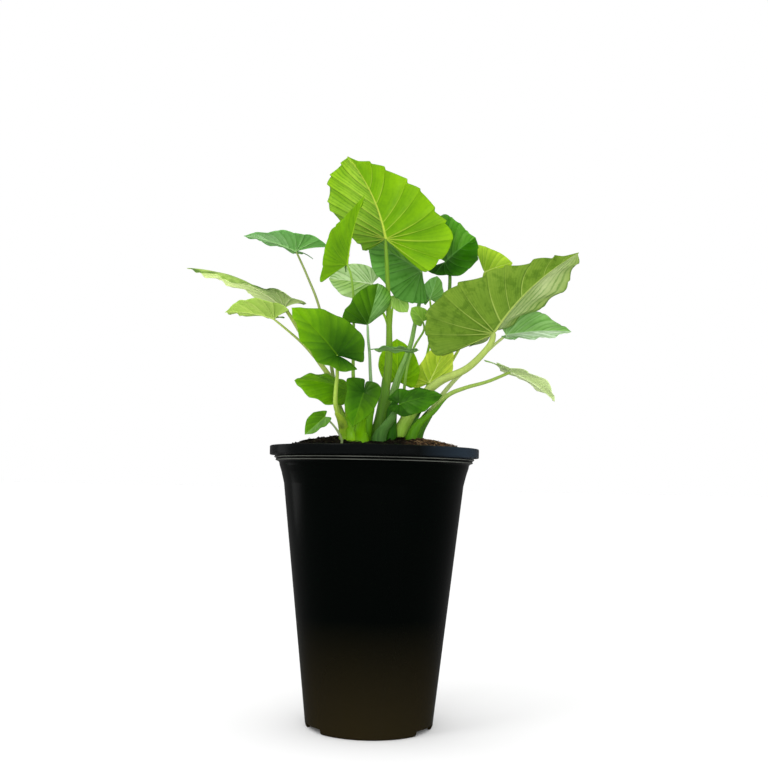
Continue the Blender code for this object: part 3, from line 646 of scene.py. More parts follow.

# %% [markdown]
# ## The leaves' layout
#
# Each leaf is laid out in millimetres. "at" is where the stalk meets the blade and "tip" is the drip
# tip. "left" and "right" hold the widest point of each half and the lowest point of its lobe. The other
# numbers say how the blade bows, domes, curls and waves, and how the stalk runs "via" some points from
# its hole in the soil.

# %% The table of leaves
LEAF_USUAL = dict(shut=0.0, bow=0.05, dome=(0.08, 0.08), curl=(0.0, 0.0), grid="small",
                  full=((0.9, 0.9), (0.9, 0.9)), look="leaf_green", look_stalk="stalk_green")
LEAVES = {
    "a": dict(at=(8, 0, 580), tip=(-41, 12, 687), left=((67, -2, 622), (61, -14, 537)),
        right=((-65, 45, 634), (-19, 32, 573)), dome=(0.1, 0.12), wave=(2.6, 5, 0.4),
        full=((0.8, 1.7), (1.7, 0.5)), grid="large", look="leaf_yellow_green", hole=(4, -8),
        stalk=(2.2, 6.6),
        via=((10, -9, 549), (13, -11, 502), (15, -11, 453), (14, -11, 414), (9, -11, 366))),
    "b": dict(at=(-37, -42, 538), tip=(-18, -32, 625), left=((-38, 0, 574), (-38, -2, 537)),
        right=((-58, -52, 573), (-67, -54, 514)), bow=0.04, dome=(0.08, 0.1), wave=(1.6, 4, 0.1),
        full=((0.6, 0.5), (0.0, 0.15)), grid="medium", hole=(-18, 2), stalk=(1.3, 3.0),
        via=((-32, -38, 526), (-29, -22, 503), (-28, -14, 470), (-27, -10, 404))),
    "c": dict(at=(-103, 20, 567), tip=(-167, 8, 582), left=((-115, -12, 584), (-63, -2, 570)),
        right=((-130, 46, 578), (-83, 42, 564)), wave=(1.6, 4, 0.6),
        full=((0.4, 0.8), (0.8, 0.8)), grid="medium", look="leaf_blue_green", hole=(-37, 12),
        stalk=(1.3, 3.0), via=((-88, 14, 535), (-71, 6, 493), (-56, 4, 429), (-46, 8, 375))),
    "d": dict(at=(-113, -10, 490), tip=(-227, -34, 531), left=((-154, -46, 516), (-83, -40, 495)),
        right=((-156, 18, 511), (-125, 22, 488)), bow=0.09, dome=(0.12, 0.1), curl=(0.15, 0.0),
        wave=(2.0, 5, 0.2), full=((0.5, 0.8), (0.2, 0.8)), grid="large", look="leaf_yellow_green",
        hole=(-34, -8), stalk=(2.2, 4.2),
        via=((-105, -13, 480), (-82, -17, 444), (-68, -18, 424), (-50, -18, 398), (-42, -14, 365))),
    "e": dict(at=(-122, -36, 472), tip=(-177, -52, 476),
        left=((-155, -62, 490), (-103, -56, 481)), right=((-158, -12, 479), (-112, -14, 477)),
        bow=0.06, wave=(1.4, 4, 0.8), full=((0.5, 0.8), (0.8, 0.8)), look="leaf_yellow_green",
        hole=(-30, 5), stalk=(1.3, 3.0),
        via=((-110, -30, 463), (-92, -16, 449), (-78, -6, 435), (-62, -2, 415), (-40, 4, 366))),
    "f": dict(at=(-45, -62, 427), tip=(-97, -80, 478), left=((-67, -90, 420), (-21, -78, 409)),
        right=((-36, -52, 469), (-14, -56, 422)), shut=0.96, dome=(0.08, 0.1), curl=(0.05, 0.0),
        wave=(2.2, 5, 0.0), full=((0.9, 1.6), (0.75, 1.2)), grid="large", hole=(-35, -32),
        stalk=(1.9, 4.0),
        via=((-44, -64, 404), (-45, -66, 388), (-45, -63, 369), (-39, -52, 353))),
    "g": dict(at=(-11, -30, 468), tip=(0, -22, 520), left=((-32, -44, 491), (-39, -42, 470)),
        right=((16, -24, 504), (10, -24, 486)), wave=(1.2, 4, 0.3), full=((0.9, 0.9), (1.0, 1.2)),
        look="leaf_dark_green", hole=(-10, -16), stalk=(1.5, 3.2),
        via=((-10, -32, 451), (-8, -28, 434), (-7, -26, 417), (-5, -22, 379))),
    "h": dict(at=(86, 72, 569), tip=(120, 20, 589), left=((86, 52, 627), (53, 88, 604)),
        right=((122, 46, 562), (59, 82, 558)), shut=0.3, bow=0.06, dome=(0.12, 0.1),
        curl=(0.0, 0.1), wave=(2.0, 4, 0.5), full=((0.1, 0.8), (0.9, 1.7)), grid="medium",
        look="leaf_dark_green", hole=(38, 46), stalk=(2.2, 4.4),
        via=((93, 82, 552), (90, 90, 502), (77, 84, 435), (56, 62, 381))),
    "i": dict(at=(54, 44, 550), tip=(-14, 56, 588), left=((12, 32, 526), (58, 38, 509)),
        right=((19, 70, 596), (66, 64, 580)), shut=0.3, wave=(1.8, 4, 0.7),
        full=((0.9, 1.2), (0.9, 0.9)), grid="medium", look="leaf_blue_green", hole=(14, 10),
        stalk=(2.2, 4.8), look_stalk="stalk_pale_green",
        via=((55, 56, 531), (52, 52, 507), (47, 44, 480), (41, 36, 451), (27, 26, 413), (18, 18, 381))),
    "j": dict(at=(140, -20, 462), tip=(243, -12, 565), left=((223, 34, 518), (118, 22, 451)),
        right=((85, -8, 517), (70, -28, 433)), dome=(0.1, 0.1), wave=(3.0, 6, 0.1),
        full=((1.6, 0.8), (0.4, 1.35)), grid="large", look="leaf_pale_green", hole=(28, -14),
        stalk=(3.6, 7.2), look_stalk="stalk_pale_green",
        via=((133, -27, 445), (108, -28, 419), (76, -26, 403), (54, -22, 383), (39, -18, 359))),
    "k": dict(at=(163, 48, 471), tip=(243, 36, 475), left=((199, 64, 507), (153, 66, 496)),
        right=((204, 32, 465), (158, 42, 466)), shut=0.5, wave=(1.8, 4, 0.4),
        full=((0.3, 0.8), (0.6, 0.4)), grid="medium", look="leaf_blue_green", hole=(50, 0),
        stalk=(1.8, 3.8),
        via=((149, 46, 459), (123, 34, 434), (99, 18, 412), (78, 8, 386), (59, 4, 356))),
    "l": dict(at=(140, 104, 563), tip=(176, 92, 574), left=((149, 98, 593), (129, 110, 600)),
        right=((167, 86, 560), (142, 100, 541)), shut=0.4, wave=(1.2, 3, 0.2),
        full=((0.5, 0.5), (0.8, 0.8)), look="leaf_yellow_green", hole=(14, 50), stalk=(1.4, 3.0),
        via=((133, 112, 527), (114, 106, 472), (77, 84, 409), (36, 58, 355))),
    "m": dict(at=(160, -24, 416), tip=(210, -36, 381), left=((190, 6, 403), (130, 0, 433)),
        right=((190, -52, 408), (140, -44, 423)), bow=0.06, wave=(1.6, 4, 0.9),
        full=((1.6, 0.8), (1.6, 0.8)), look="leaf_pale_green", hole=(43, -32), stalk=(1.8, 4.0),
        look_stalk="stalk_pale_green",
        via=((133, -26, 404), (105, -32, 395), (84, -36, 385), (67, -36, 366))),
    "n": dict(at=(-13, -80, 382), tip=(-24, -92, 343), left=((6, -84, 381), (-9, -76, 396)),
        right=((-32, -84, 383), (-14, -75, 399)), shut=0.96, bow=0.08, wave=(1.0, 3, 0.5),
        full=((1.0, 1.7), (1.0, 2.5)), look="leaf_dark_green", hole=(-14, -48), stalk=(1.5, 3.0),
        via=((-14, -72, 372), (-14, -62, 358), (-16, -53, 342))),
    "o": dict(at=(-29, -36, 388), tip=(-94, -52, 398), left=((-66, -56, 375), (-38, -48, 371)),
        right=((-63, -32, 408), (-34, -26, 399)), bow=0.08, wave=(1.6, 4, 0.9), grid="medium",
        hole=(-22, -38), stalk=(1.1, 3.6),
        via=((-33, -25, 379), (-34, -30, 366), (-29, -36, 346))),
    "p": dict(at=(-55, -90, 354), tip=(-76, -104, 333), left=((-59, -96, 341), (-48, -90, 352)),
        right=((-72, -98, 354), (-55, -86, 361)), shut=0.6, bow=0.08, wave=(0.8, 3, 0.4),
        grid="tiny", hole=(-36, -84), stalk=(1.0, 1.5), via=((-45, -87, 344),)),
    "q": dict(at=(29, -60, 372), tip=(77, -66, 383), left=((38, -52, 390), (15, -54, 379)),
        right=((42, -72, 359), (15, -66, 367)), shut=0.85, bow=0.06, wave=(1.2, 4, 0.6),
        full=((0.9, 1.3), (0.9, 1.3)), look="leaf_dark_green", hole=(5, -38), stalk=(2.0, 5.0),
        via=((24, -56, 364), (14, -47, 350))),
    "r": dict(at=(27, 42, 409), tip=(25, 52, 464), left=((52, 40, 432), (47, 44, 402)),
        right=((3, 46, 438), (10, 46, 409)), shut=0.4, wave=(1.2, 4, 0.1), hole=(14, 30),
        stalk=(1.6, 3.4), via=((26, 40, 398), (22, 34, 372), (16, 31, 350))),
    "s": dict(at=(67, 56, 409), tip=(90, 70, 464), left=((97, 58, 437), (90, 60, 414)),
        right=((56, 64, 435), (47, 62, 403)), shut=0.4, wave=(1.2, 4, 0.4),
        look="leaf_yellow_green", hole=(30, 28), stalk=(1.6, 3.4),
        via=((63, 54, 400), (49, 44, 371), (36, 34, 348))),
    "t": dict(at=(40, -24, 439), tip=(-8, -40, 437), left=((17, -48, 440), (48, -40, 438)),
        right=((20, -19, 438), (51, -16, 439)), bow=0.04, wave=(1.6, 4, 0.2),
        look="leaf_blue_green", hole=(18, -26), stalk=(1.3, 3.0),
        via=((37, -24, 428), (30, -22, 409), (24, -24, 386), (19, -25, 356))),
    "u": dict(at=(-8, 76, 539), tip=(-64, 64, 542), left=((-40, 60, 560), (2, 66, 552)),
        right=((-37, 84, 521), (0, 84, 524)), shut=0.4, wave=(1.4, 4, 0.6),
        look="leaf_pale_green", hole=(0, 42), stalk=(1.5, 3.0),
        via=((-3, 78, 518), (13, 76, 485), (16, 70, 426), (9, 52, 367))),
    "v": dict(at=(22, 56, 521), tip=(38, 50, 498), left=((37, 52, 515), (28, 56, 529)),
        right=((21, 54, 502), (14, 58, 517)), shut=0.3, bow=0.08, wave=(0.8, 3, 0.1), grid="tiny",
        hole=(4, 28), stalk=(1.2, 2.5),
        via=((19, 59, 508), (17, 60, 470), (18, 58, 425), (13, 44, 379))),
    "w": dict(at=(66, 54, 516), tip=(75, 58, 547), left=((82, 52, 532), (78, 52, 512)),
        right=((58, 60, 535), (59, 58, 510)), shut=0.5, wave=(0.8, 3, 0.7), grid="tiny",
        look="leaf_blue_green", hole=(26, 40), stalk=(1.3, 3.0),
        via=((68, 50, 499), (69, 56, 483), (66, 80, 454), (51, 68, 394), (36, 50, 355))),
    "x": dict(at=(57, 34, 484), tip=(42, 28, 500), left=((43, 26, 484), (53, 30, 477)),
        right=((58, 36, 501), (65, 36, 489)), shut=0.5, wave=(0.8, 3, 0.3), grid="tiny",
        hole=(36, 12), stalk=(1.3, 2.5),
        via=((58, 33, 472), (46, 30, 450), (37, 24, 419), (33, 15, 365))),
}
LEAVES = {key: {**LEAF_USUAL, **leaf} for key, leaf in LEAVES.items()}
print("leaves:", len(LEAVES))

# %% [markdown]
# ## The margin of a half
#
# A smooth curve runs from the notch between the lobes, round the lobe and the widest
# point, to the tip. The same curve shapes the solid, so the fine blade keeps its form.

# %% Curves through points
def curve_through(points, steps):
    """Points on a smooth curve through the given points, a few for each stretch."""
    points = [np.asarray(point, float) for point in points]
    ends = [2 * points[0] - points[1], *points, 2 * points[-1] - points[-2]]
    found = []
    for start in range(len(points) - 1):
        p0, p1, p2, p3 = ends[start:start + 4]
        for step in range(steps):
            t = step / steps
            found.append(
                0.5 * (2 * p1 + (p2 - p0) * t + (2 * p0 - 5 * p1 + 4 * p2 - p3) * t**2
                       + (3 * p1 - p0 - 3 * p2 + p3) * t**3)
            )
    return np.array([*found, points[-1]])


def lengths_along(points):
    """How far along the curve each point lies."""
    steps = np.linalg.norm(np.diff(points, axis=0), axis=1)
    return np.concatenate([[0.0], np.cumsum(steps)])


def spaced(points, shares):
    """Points at the given shares of the curve's length."""
    length = lengths_along(points)
    wanted = np.asarray(shares) * length[-1]
    return np.stack([np.interp(wanted, length, points[:, axis]) for axis in range(3)], axis=1)


def leaf_up(leaf):
    """The direction that the upper side of the whole leaf faces."""
    along = np.subtract(leaf["tip"], leaf["at"])
    across = np.subtract(leaf["left"][0], leaf["right"][0])
    return unit(np.cross(along, across))


MARGIN_STEPS = 40
LOBE_STEPS = 2 * MARGIN_STEPS
LOBE_START = 0.8


def margin(leaf, name):
    """The edge of one half, from the notch between the lobes round to the tip."""
    at, tip = (np.array(leaf[key], float) for key in ("at", "tip"))
    edge, lobe = (np.array(point, float) for point in leaf[name])
    full = leaf["full"][0 if name == "left" else 1]
    back = unit((np.array(leaf["left"][1], float) + leaf["right"][1]) / 2 - at)
    inner = unit(leaf["shut"] * back + (1.0 - leaf["shut"]) * unit(lobe - at))
    out = unit((edge + lobe) / 2 - at)
    along = unit(tip - edge)
    side = unit((edge - at) - np.dot(edge - at, along) * along)
    reach = np.linalg.norm(tip - edge)
    return curve_through(
        [
            at,
            at + 0.5 * np.linalg.norm(lobe - at) * inner,
            lobe,
            (edge + lobe) / 2 + 0.18 * full[1] * np.linalg.norm(edge - lobe) * out,
            edge,
            edge + 0.34 * (tip - edge) + 0.12 * full[0] * reach * side,
            edge + 0.68 * (tip - edge) + 0.10 * full[0] * reach * side,
            tip,
        ],
        MARGIN_STEPS,
    )


print("margin of leaf a:", round(lengths_along(margin(LEAVES["a"], "left"))[-1]), "mm")

# %% [markdown]
# ## The veins
#
# On the real leaf, side veins leave the midrib and run to the margin, where they bend
# toward the tip. They stand out below as ridges and lie in creases above, and the blade
# swells between them. The margin has a corner just above the end of each vein. We give
# each point of a half a vein number, which is whole on a vein, so its fraction says
# where the point lies between two veins. It drives both the relief and the colour.

# %% One half as a fine grid
# How deep the margin's corners are and how strongly the blade swells, 1 on the top leaf.
RELIEF = {"a": (1.0, 1.0), "b": (0.5, 0.5), "c": (0.4, 0.4), "d": (0.6, 0.3), "e": (0.6, 0.6),
          "g": (0.1, 1.0), "h": (0.3, 0.9), "i": (0.3, 0.8), "j": (0.9, 1.1), "k": (0.5, 0.8),
          "m": (0.5, 0.5)}
# How far, in mm, the midrib bows toward the right half, and toward the left where negative.
SWAY = {"a": -6.0, "j": 7.0}
# Halves that are pleated along the midrib, so they hardly swell between the side veins.
PLEATED = {("j", "left"): 0.2}
# The share of the rows that fan out from the stalk, where it differs from 0.4.
FANS = {"a": 0.45}
# The rows and columns of a half's grid, and how many side veins the half has.
SIZES = {"large": (200, 38, 10), "medium": (124, 28, 8), "small": (88, 20, 6),
         "tiny": (60, 14, 5)}


def eased(values, low, high):
    """A soft step from 0 to 1."""
    t = np.clip((values - low) / (high - low), 0.0, 1.0)
    return t * t * (3.0 - 2.0 * t)


def unit_rows(rows):
    """Each row made one long, where it has a length."""
    length = np.linalg.norm(rows, axis=-1, keepdims=True)
    return rows / np.maximum(length, 1e-9)


def half_sheet(key, name):
    """The middle sheet of one half: its points, and what each of them lies on."""
    leaf = LEAVES[key]
    corners, swelling = RELIEF.get(key, (0.15, 0.45))
    plain = PLEATED.get((key, name), 1.0)
    rows, columns, veins = SIZES[leaf["grid"]]
    at, tip = (np.array(leaf[key], float) for key in ("at", "tip"))
    edge = np.array(leaf[name][0], float)
    number, flip = (0, 1.0) if name == "left" else (1, -1.0)
    facing = unit(np.cross(tip - at, edge - at)) * flip
    line = margin(leaf, name)
    length = lengths_along(line)
    first = LOBE_START * length[LOBE_STEPS] / length[-1]
    way = np.linspace(0.0, 1.0, rows)
    shares = first + (1.0 - first) * way
    ends = spaced(line, shares)
    fan = FANS.get(key, 0.4)
    rib = np.clip((way - fan) / (1.0 - fan), 0.0, 1.0) ** 1.65
    span = np.linalg.norm(tip - at)
    up = leaf_up(leaf)
    across = unit(np.cross(tip - at, up))
    bow = (4 * rib * (1 - rib))[:, None]
    roots = at + rib[:, None] * (tip - at) + bow * (leaf["bow"] * span * up
                                                    + SWAY.get(key, 0.0) * across)
    reach = np.linalg.norm(ends - roots, axis=1)
    t = np.linspace(0.0, 1.0, columns + 1) ** 1.2
    uneven = 0.14 * np.sin(2.7 * veins * way + 2.0 * number + ord(key))
    place = veins * way[:, None] + 0.5 + uneven[:, None] - 0.6 * (way[:, None] - 0.1) * t**2
    fade = np.minimum(1.0, reach / 12.0)
    gap = np.linalg.norm(np.gradient(ends, axis=0), axis=1) * (rows - 1) / veins
    part = place[:, -1] - np.floor(place[:, -1])
    corner = part**1.7 * (1.0 - eased(part, 0.9, 1.0))
    depth = 0.8 + 0.4 * np.sin(4.1 * np.floor(place[:, -1]) + ord(key))
    bite = 0.16 * corners * depth * np.minimum(gap, 24.0) * fade * corner * eased(way, 0.02, 0.12)
    ends = ends + unit_rows(roots - ends) * bite[:, None]
    reach = np.linalg.norm(ends - roots, axis=1)
    lift = leaf["dome"][number] * reach[:, None] * 4 * t * (1 - t) * 0.5
    lift = lift - leaf["curl"][number] * reach[:, None] * t**3
    height, count, start = leaf["wave"]
    waves = np.sin(2 * pi * (count * shares + start + 0.37 * number))
    lift = lift + height * (fade * waves)[:, None] * t**2
    part = place - np.floor(place)
    ripple = part * (1.0 - eased(part, 0.86, 1.0)) - 0.4
    ripple_rise = 0.16 * plain * corners * np.minimum(gap, 20.0) * fade
    lift = lift + ripple_rise[:, None] * t**4 * ripple
    pillow = np.sin(pi * part) ** 0.8
    tuck = eased(t * reach[:, None], 0.0, 14.0) * (0.6 + 0.4 * t)
    puff = 0.085 * plain * swelling * np.minimum(gap, 24.0) * fade
    lift = lift + puff[:, None] * tuck * (pillow - 0.5)
    points = roots[:, None, :] + t[None, :, None] * (ends - roots)[:, None, :]
    points = points + lift[:, :, None] * facing
    return dict(points=points, place=place, t=t, reach=reach, rib=rib, way=way, up=up,
                facing=facing, veins=veins, rows=rows, columns=columns, number=number)


half = half_sheet("a", "left")
print("points in half a blade:", half["points"].shape[:2])

# %% Relief of midrib and veins
def relief(half):
    """How far each point's two faces stand from the sheet, and the veins' spacing in mm."""
    points, t, reach = half["points"], half["t"], half["reach"]
    by_row, by_column = np.gradient(points, axis=0), np.gradient(points, axis=1)
    crossed = np.cross(by_row, by_column)
    crossed *= np.sign(np.sum(crossed * half["facing"], axis=-1, keepdims=True) + 1e-12)
    out = t[None, :] * reach[:, None]
    trust = eased(out, 0.5, 6.0)[:, :, None]
    normals = unit_rows(trust * unit_rows(crossed) + (1.0 - trust) * half["up"])
    spacing = np.linalg.norm(by_row, axis=-1) * (half["rows"] - 1) / half["veins"]
    away = np.abs(half["place"] - np.round(half["place"])) * spacing
    big = min(1.0, reach.max() / 60.0)
    wide = 0.45 + 0.55 * (1.0 - t) * big
    side_vein = np.exp(-((away / wide) ** 2)) * (1.0 - eased(t, 0.86, 1.0))
    rib_wide = (0.5 + 1.7 * big) * (1.0 - 0.8 * half["rib"])
    mid_vein = np.exp(-((out / rib_wide[:, None]) ** 2))
    rib_rise = (0.4 + 1.3 * big) * (1.0 - 0.85 * half["rib"])[:, None] * mid_vein
    vein_rise = (0.12 + 0.33 * big) * (1.0 - 0.7 * t) * side_vein
    skin = 0.3 - 0.14 * eased(t, 0.9, 1.0)
    over = skin - 0.35 * vein_rise - 0.2 * rib_rise
    under = skin + vein_rise + rib_rise
    return normals, over, under, out, spacing


normals, over, under, out, spacing = relief(half)
print("highest ridge in mm:", round(float(under.max()), 2))

# %% Close the blade
MARKS = ("place", "spacing", "outward", "edge", "rib", "way", "half", "centre")


def put_marks(mesh, marks):
    """Keeps numbers for each point of a mesh, for its finish to read."""
    for label, values in marks.items():
        layer = mesh.attributes.new(label, "FLOAT", "POINT")
        layer.data.foreach_set("value", np.array(values, dtype=np.float32))


def blade_mesh(name, key):
    """Both halves, sewn at the midrib, with an upper and a lower face and a rim."""
    at, tip = (np.array(LEAVES[key][end], float) for end in ("at", "tip"))
    found, faces, numbers = [], [], {}
    for side in ("left", "right"):
        half = half_sheet(key, side)
        points, last = half["points"], half["rows"] - 1
        normals, over, under, out, spacing = relief(half)
        centre = np.linalg.norm(points - at, axis=-1) / np.linalg.norm(tip - at)
        layers = (over, under, half["place"], spacing, out, half["t"], half["rib"][:, None],
                  half["way"][:, None], half["number"], centre)
        table = np.stack([np.broadcast_to(layer, out.shape) for layer in layers], axis=-1)
        table = np.concatenate([points, normals, table], axis=-1)
        ids = np.empty(out.shape, int)
        for row, column in np.ndindex(out.shape):
            spot = tuple(np.round(points[row, column], 3))
            if column > 0 and row < last:
                spot = (side, row, column)
            if spot not in numbers:
                numbers[spot] = len(found)
                found.append(table[row, column])
            ids[row, column] = numbers[spot]
        for row, column in np.ndindex(last, half["columns"]):
            face = (*ids[row:row + 2, column], *ids[row:row + 2, column + 1][::-1])
            kept = tuple(dict.fromkeys(face if side == "left" else face[::-1]))
            if len(kept) > 2:
                faces.append(kept)
    found, count = np.array(found), len(found)
    upper = found[:, :3] + found[:, 3:6] * found[:, 6:7]
    lower = found[:, :3] - found[:, 3:6] * found[:, 7:8]
    uses = {}
    for face in faces:
        for first, second in zip(face, (*face[1:], face[0])):
            uses[(first, second)] = uses.get((first, second), 0) + 1
    rim = [(b, a, a + count, b + count) for a, b in uses if (b, a) not in uses]
    under_faces = [tuple(corner + count for corner in face[::-1]) for face in faces]
    mesh = smooth_mesh(name, np.concatenate([upper, lower]), [*faces, *under_faces, *rim])
    put_marks(mesh, dict(zip(MARKS, np.tile(found[:, 8:], (2, 1)).T)))
    sides = np.zeros(len(mesh.polygons), dtype=np.int32)
    sides[len(faces):] = 1
    mesh.polygons.foreach_set("material_index", sides)
    return mesh


print("blade maker ready")

# %% [markdown]
# ## The leaf's finish
#
# A fresh leaf is waxy. Its upper side is deeper green and glossier, its lower side paler and duller.
# The light that comes through a leaf is painted into its greens as paler, brighter colour, most on the
# leaves that lie in the shade of others. The veins are paler than the green between them, with a
# painted shade line on their lower side, and the strip between two veins gets a painted shade that
# deepens toward the next vein. Fine darker lines run beside the veins, which gives the striped look;
# they are partly fine veins and partly painted shade of small folds. The green is never even: the two
# halves of a blade differ, partly in their own green and partly by painted light and shade, the blade
# near the stalk gets a painted shade, and on two leaves the tip gets a painted sheen. Each leaf has its
# own age, so each has its own greens.

# %% Make a leaf finish
def vein_parts(tree, size):
    """Shares of pale vein, midrib and painted shade line beside a vein, and the place between two
    veins.
    """
    place, spacing, outward, edge, rib = (mark_of(tree, label) for label in MARKS[:5])
    part = place.step("FRACT", place)
    before = (1.0 - part) * spacing
    away = before.step("MINIMUM", before, part * spacing)
    wide = edge.spread(0.0, 0.8, 0.8 * size, 0.28 * size)
    side = (away / wide).spread(0.4, 1.3, 1.0, 0.0) * edge.spread(0.45, 0.95, 1.0, 0.15)
    rib_wide = rib.spread(0.0, 1.0, 2.6 * size, 0.5 * size)
    middle = (outward / rib_wide).spread(0.6, 1.1, 1.0, 0.0)
    # A painted shade line on the lower side of each vein, where the swelling blade meets it.
    dark = before.spread(0.4, 2.6 * size, 1.0, 0.0) * before.spread(0.1, 0.6 * size)
    dark = dark * edge.spread(0.9, 1.0, 1.0, 0.4)
    dark = dark * cloudy(tree, 26.0, 2.0).spread(0.38, 0.6, 0.3, 1.0)
    return side, middle, dark, part, edge, spacing


def fine_lines(across, count):
    """Thin lines, so many for each whole number of a signal, broken up by noise."""
    broken = cloudy(across.tree, 60.0, 3.0, 0.6)
    turns = across * (2 * pi * count) + broken * 5.0
    return turns.step("SINE", turns).spread(0.1, 1.0) * broken.spread(0.35, 0.6, 0.3, 1.0)


def leaf_finish(name, look, gloss):
    """A waxy green with veins, lines, clouds and a paler edge, with painted shade beside the veins, in
    bands between them and near the stalk.
    """
    left, right, vein, pale = (light_of(*look[part]) for part in ("left", "right", "vein", "edge"))
    made, shader = plain_shader(name, left[:3], gloss, 0.3)
    feed((0.8, 1.0, 0.45, 1.0), shader.inputs["Specular Tint"])
    tree = shader.id_data
    side, middle, dark, part, edge, spacing = vein_parts(tree, look["size"])
    way, half, centre = (mark_of(tree, label) for label in MARKS[5:])
    # Each half gets its own green; where they differ much, as on g and u, the difference is partly
    # painted light and shade.
    colour = mixed(half, left, right)
    # On leaves c and f the green toward the tip is a painted sheen.
    if look["tip"]:
        colour = mixed(way.spread(0.45, 0.8), colour, light_of(*look["tip"]))
    clouds = cloudy(tree, 24.0, 4.0, 0.6).spread(0.36, 0.64)
    colour = tinted(clouds * look["clouds"], colour, (0.45, 0.62, 0.3))
    # Paler patches: partly the leaf's own uneven tone, partly a painted sheen, stronger on the
    # cloudier, glossier leaves.
    paler_tone_and_sheen = cloudy(tree, 13.0, 2.0, 0.5).spread(0.5, 0.7)
    colour = mixed(paler_tone_and_sheen * (0.3 if look["clouds"] > 0.3 else 0.15), colour, pale)
    near_edge = edge.spread(0.5, 1.0) * cloudy(tree, 17.0, 3.0, 0.5).spread(0.38, 0.6, 0.2, 0.85)
    colour = mixed(near_edge, colour, pale)
    if look["pleated"]:
        plain = half.spread(0.0, 1.0, 0.12, 1.0)
        side, dark, part = side * plain, dark * plain, part * plain
    # Painted shade across each strip between two veins, deepening toward the next vein, as the swelling
    # blade turns from the light.
    painted_strip_shade = part.step("POWER", part, 1.6) * part.spread(1.0, 0.8)
    colour = tinted(painted_strip_shade * look["strip_shade"], colour, (0.48, 0.64, 0.36))
    # Painted shade near the stalk and between the lobes, where the blade lies under the others, as
    # strong on each half as the leaf's row gives.
    away = centre + way * 0.5 + cloudy(tree, 40.0, 3.0, 0.6) * 0.3
    painted_base_shade = away.spread(look["far"], 0.3) * half.spread(0.0, 1.0, *look["base_shade"])
    colour = tinted(painted_base_shade, colour, (0.1, 0.29, 0.03))
    # Painted shade in patches along the margin of the left half, where it curls over.
    if look["shaded_margin"]:
        shade = edge.spread(0.6, 0.9) * cloudy(tree, 34.0, 2.0, 0.5).spread(0.42, 0.56)
        colour = mixed(shade * half.spread(0.0, 1.0, 0.9, 0.0), colour, light_of(74, 108, 48))
    # Darker mottles: the leaf's own uneven tone, and on the back of leaf d a painted shade in patches.
    if look["mottles_and_shade"]:
        patch = cloudy(tree, look["patches"], 3.0, 0.6).spread(0.5, 0.62)
        patch = patch * half if look["pleated"] else patch
        colour = tinted(patch * look["mottles_and_shade"], colour, (0.36, 0.52, 0.16))
    # Fine darker lines beside the veins: partly fine veins, partly painted shade of small folds.
    for number, strength in enumerate(look["lines"]):
        along_rib = look["pleated"] and number == 0
        line = fine_lines(edge if along_rib else part, look["count"])
        here = half.spread(0.0, 1.0, 1.0 - number, number) * spacing.spread(2.0, 5.0)
        colour = tinted(line * (here * strength), colour, (0.4, 0.58, 0.3))
    # The painted shade line beside the veins.
    colour = tinted(dark * look["dark"], colour, (0.32, 0.48, 0.2))
    fine, grain = cloudy(tree, 240.0, 3.0, 0.6), look["grain"]
    colour = tinted(fine.spread(0.45, 0.7, 0.0, grain), colour, (0.66, 0.76, 0.55))
    colour = mixed(side * look["veins"], colour, vein)
    colour = mixed(middle * look["midrib"], colour, vein)
    feed(colour, shader.inputs["Base Color"])
    feed(clouds.spread(0.0, 1.0, gloss - 0.06, gloss + 0.08), shader.inputs["Roughness"])
    raised(shader, side * 0.8 + fine * grain, 0.5, 0.0005)
    return made
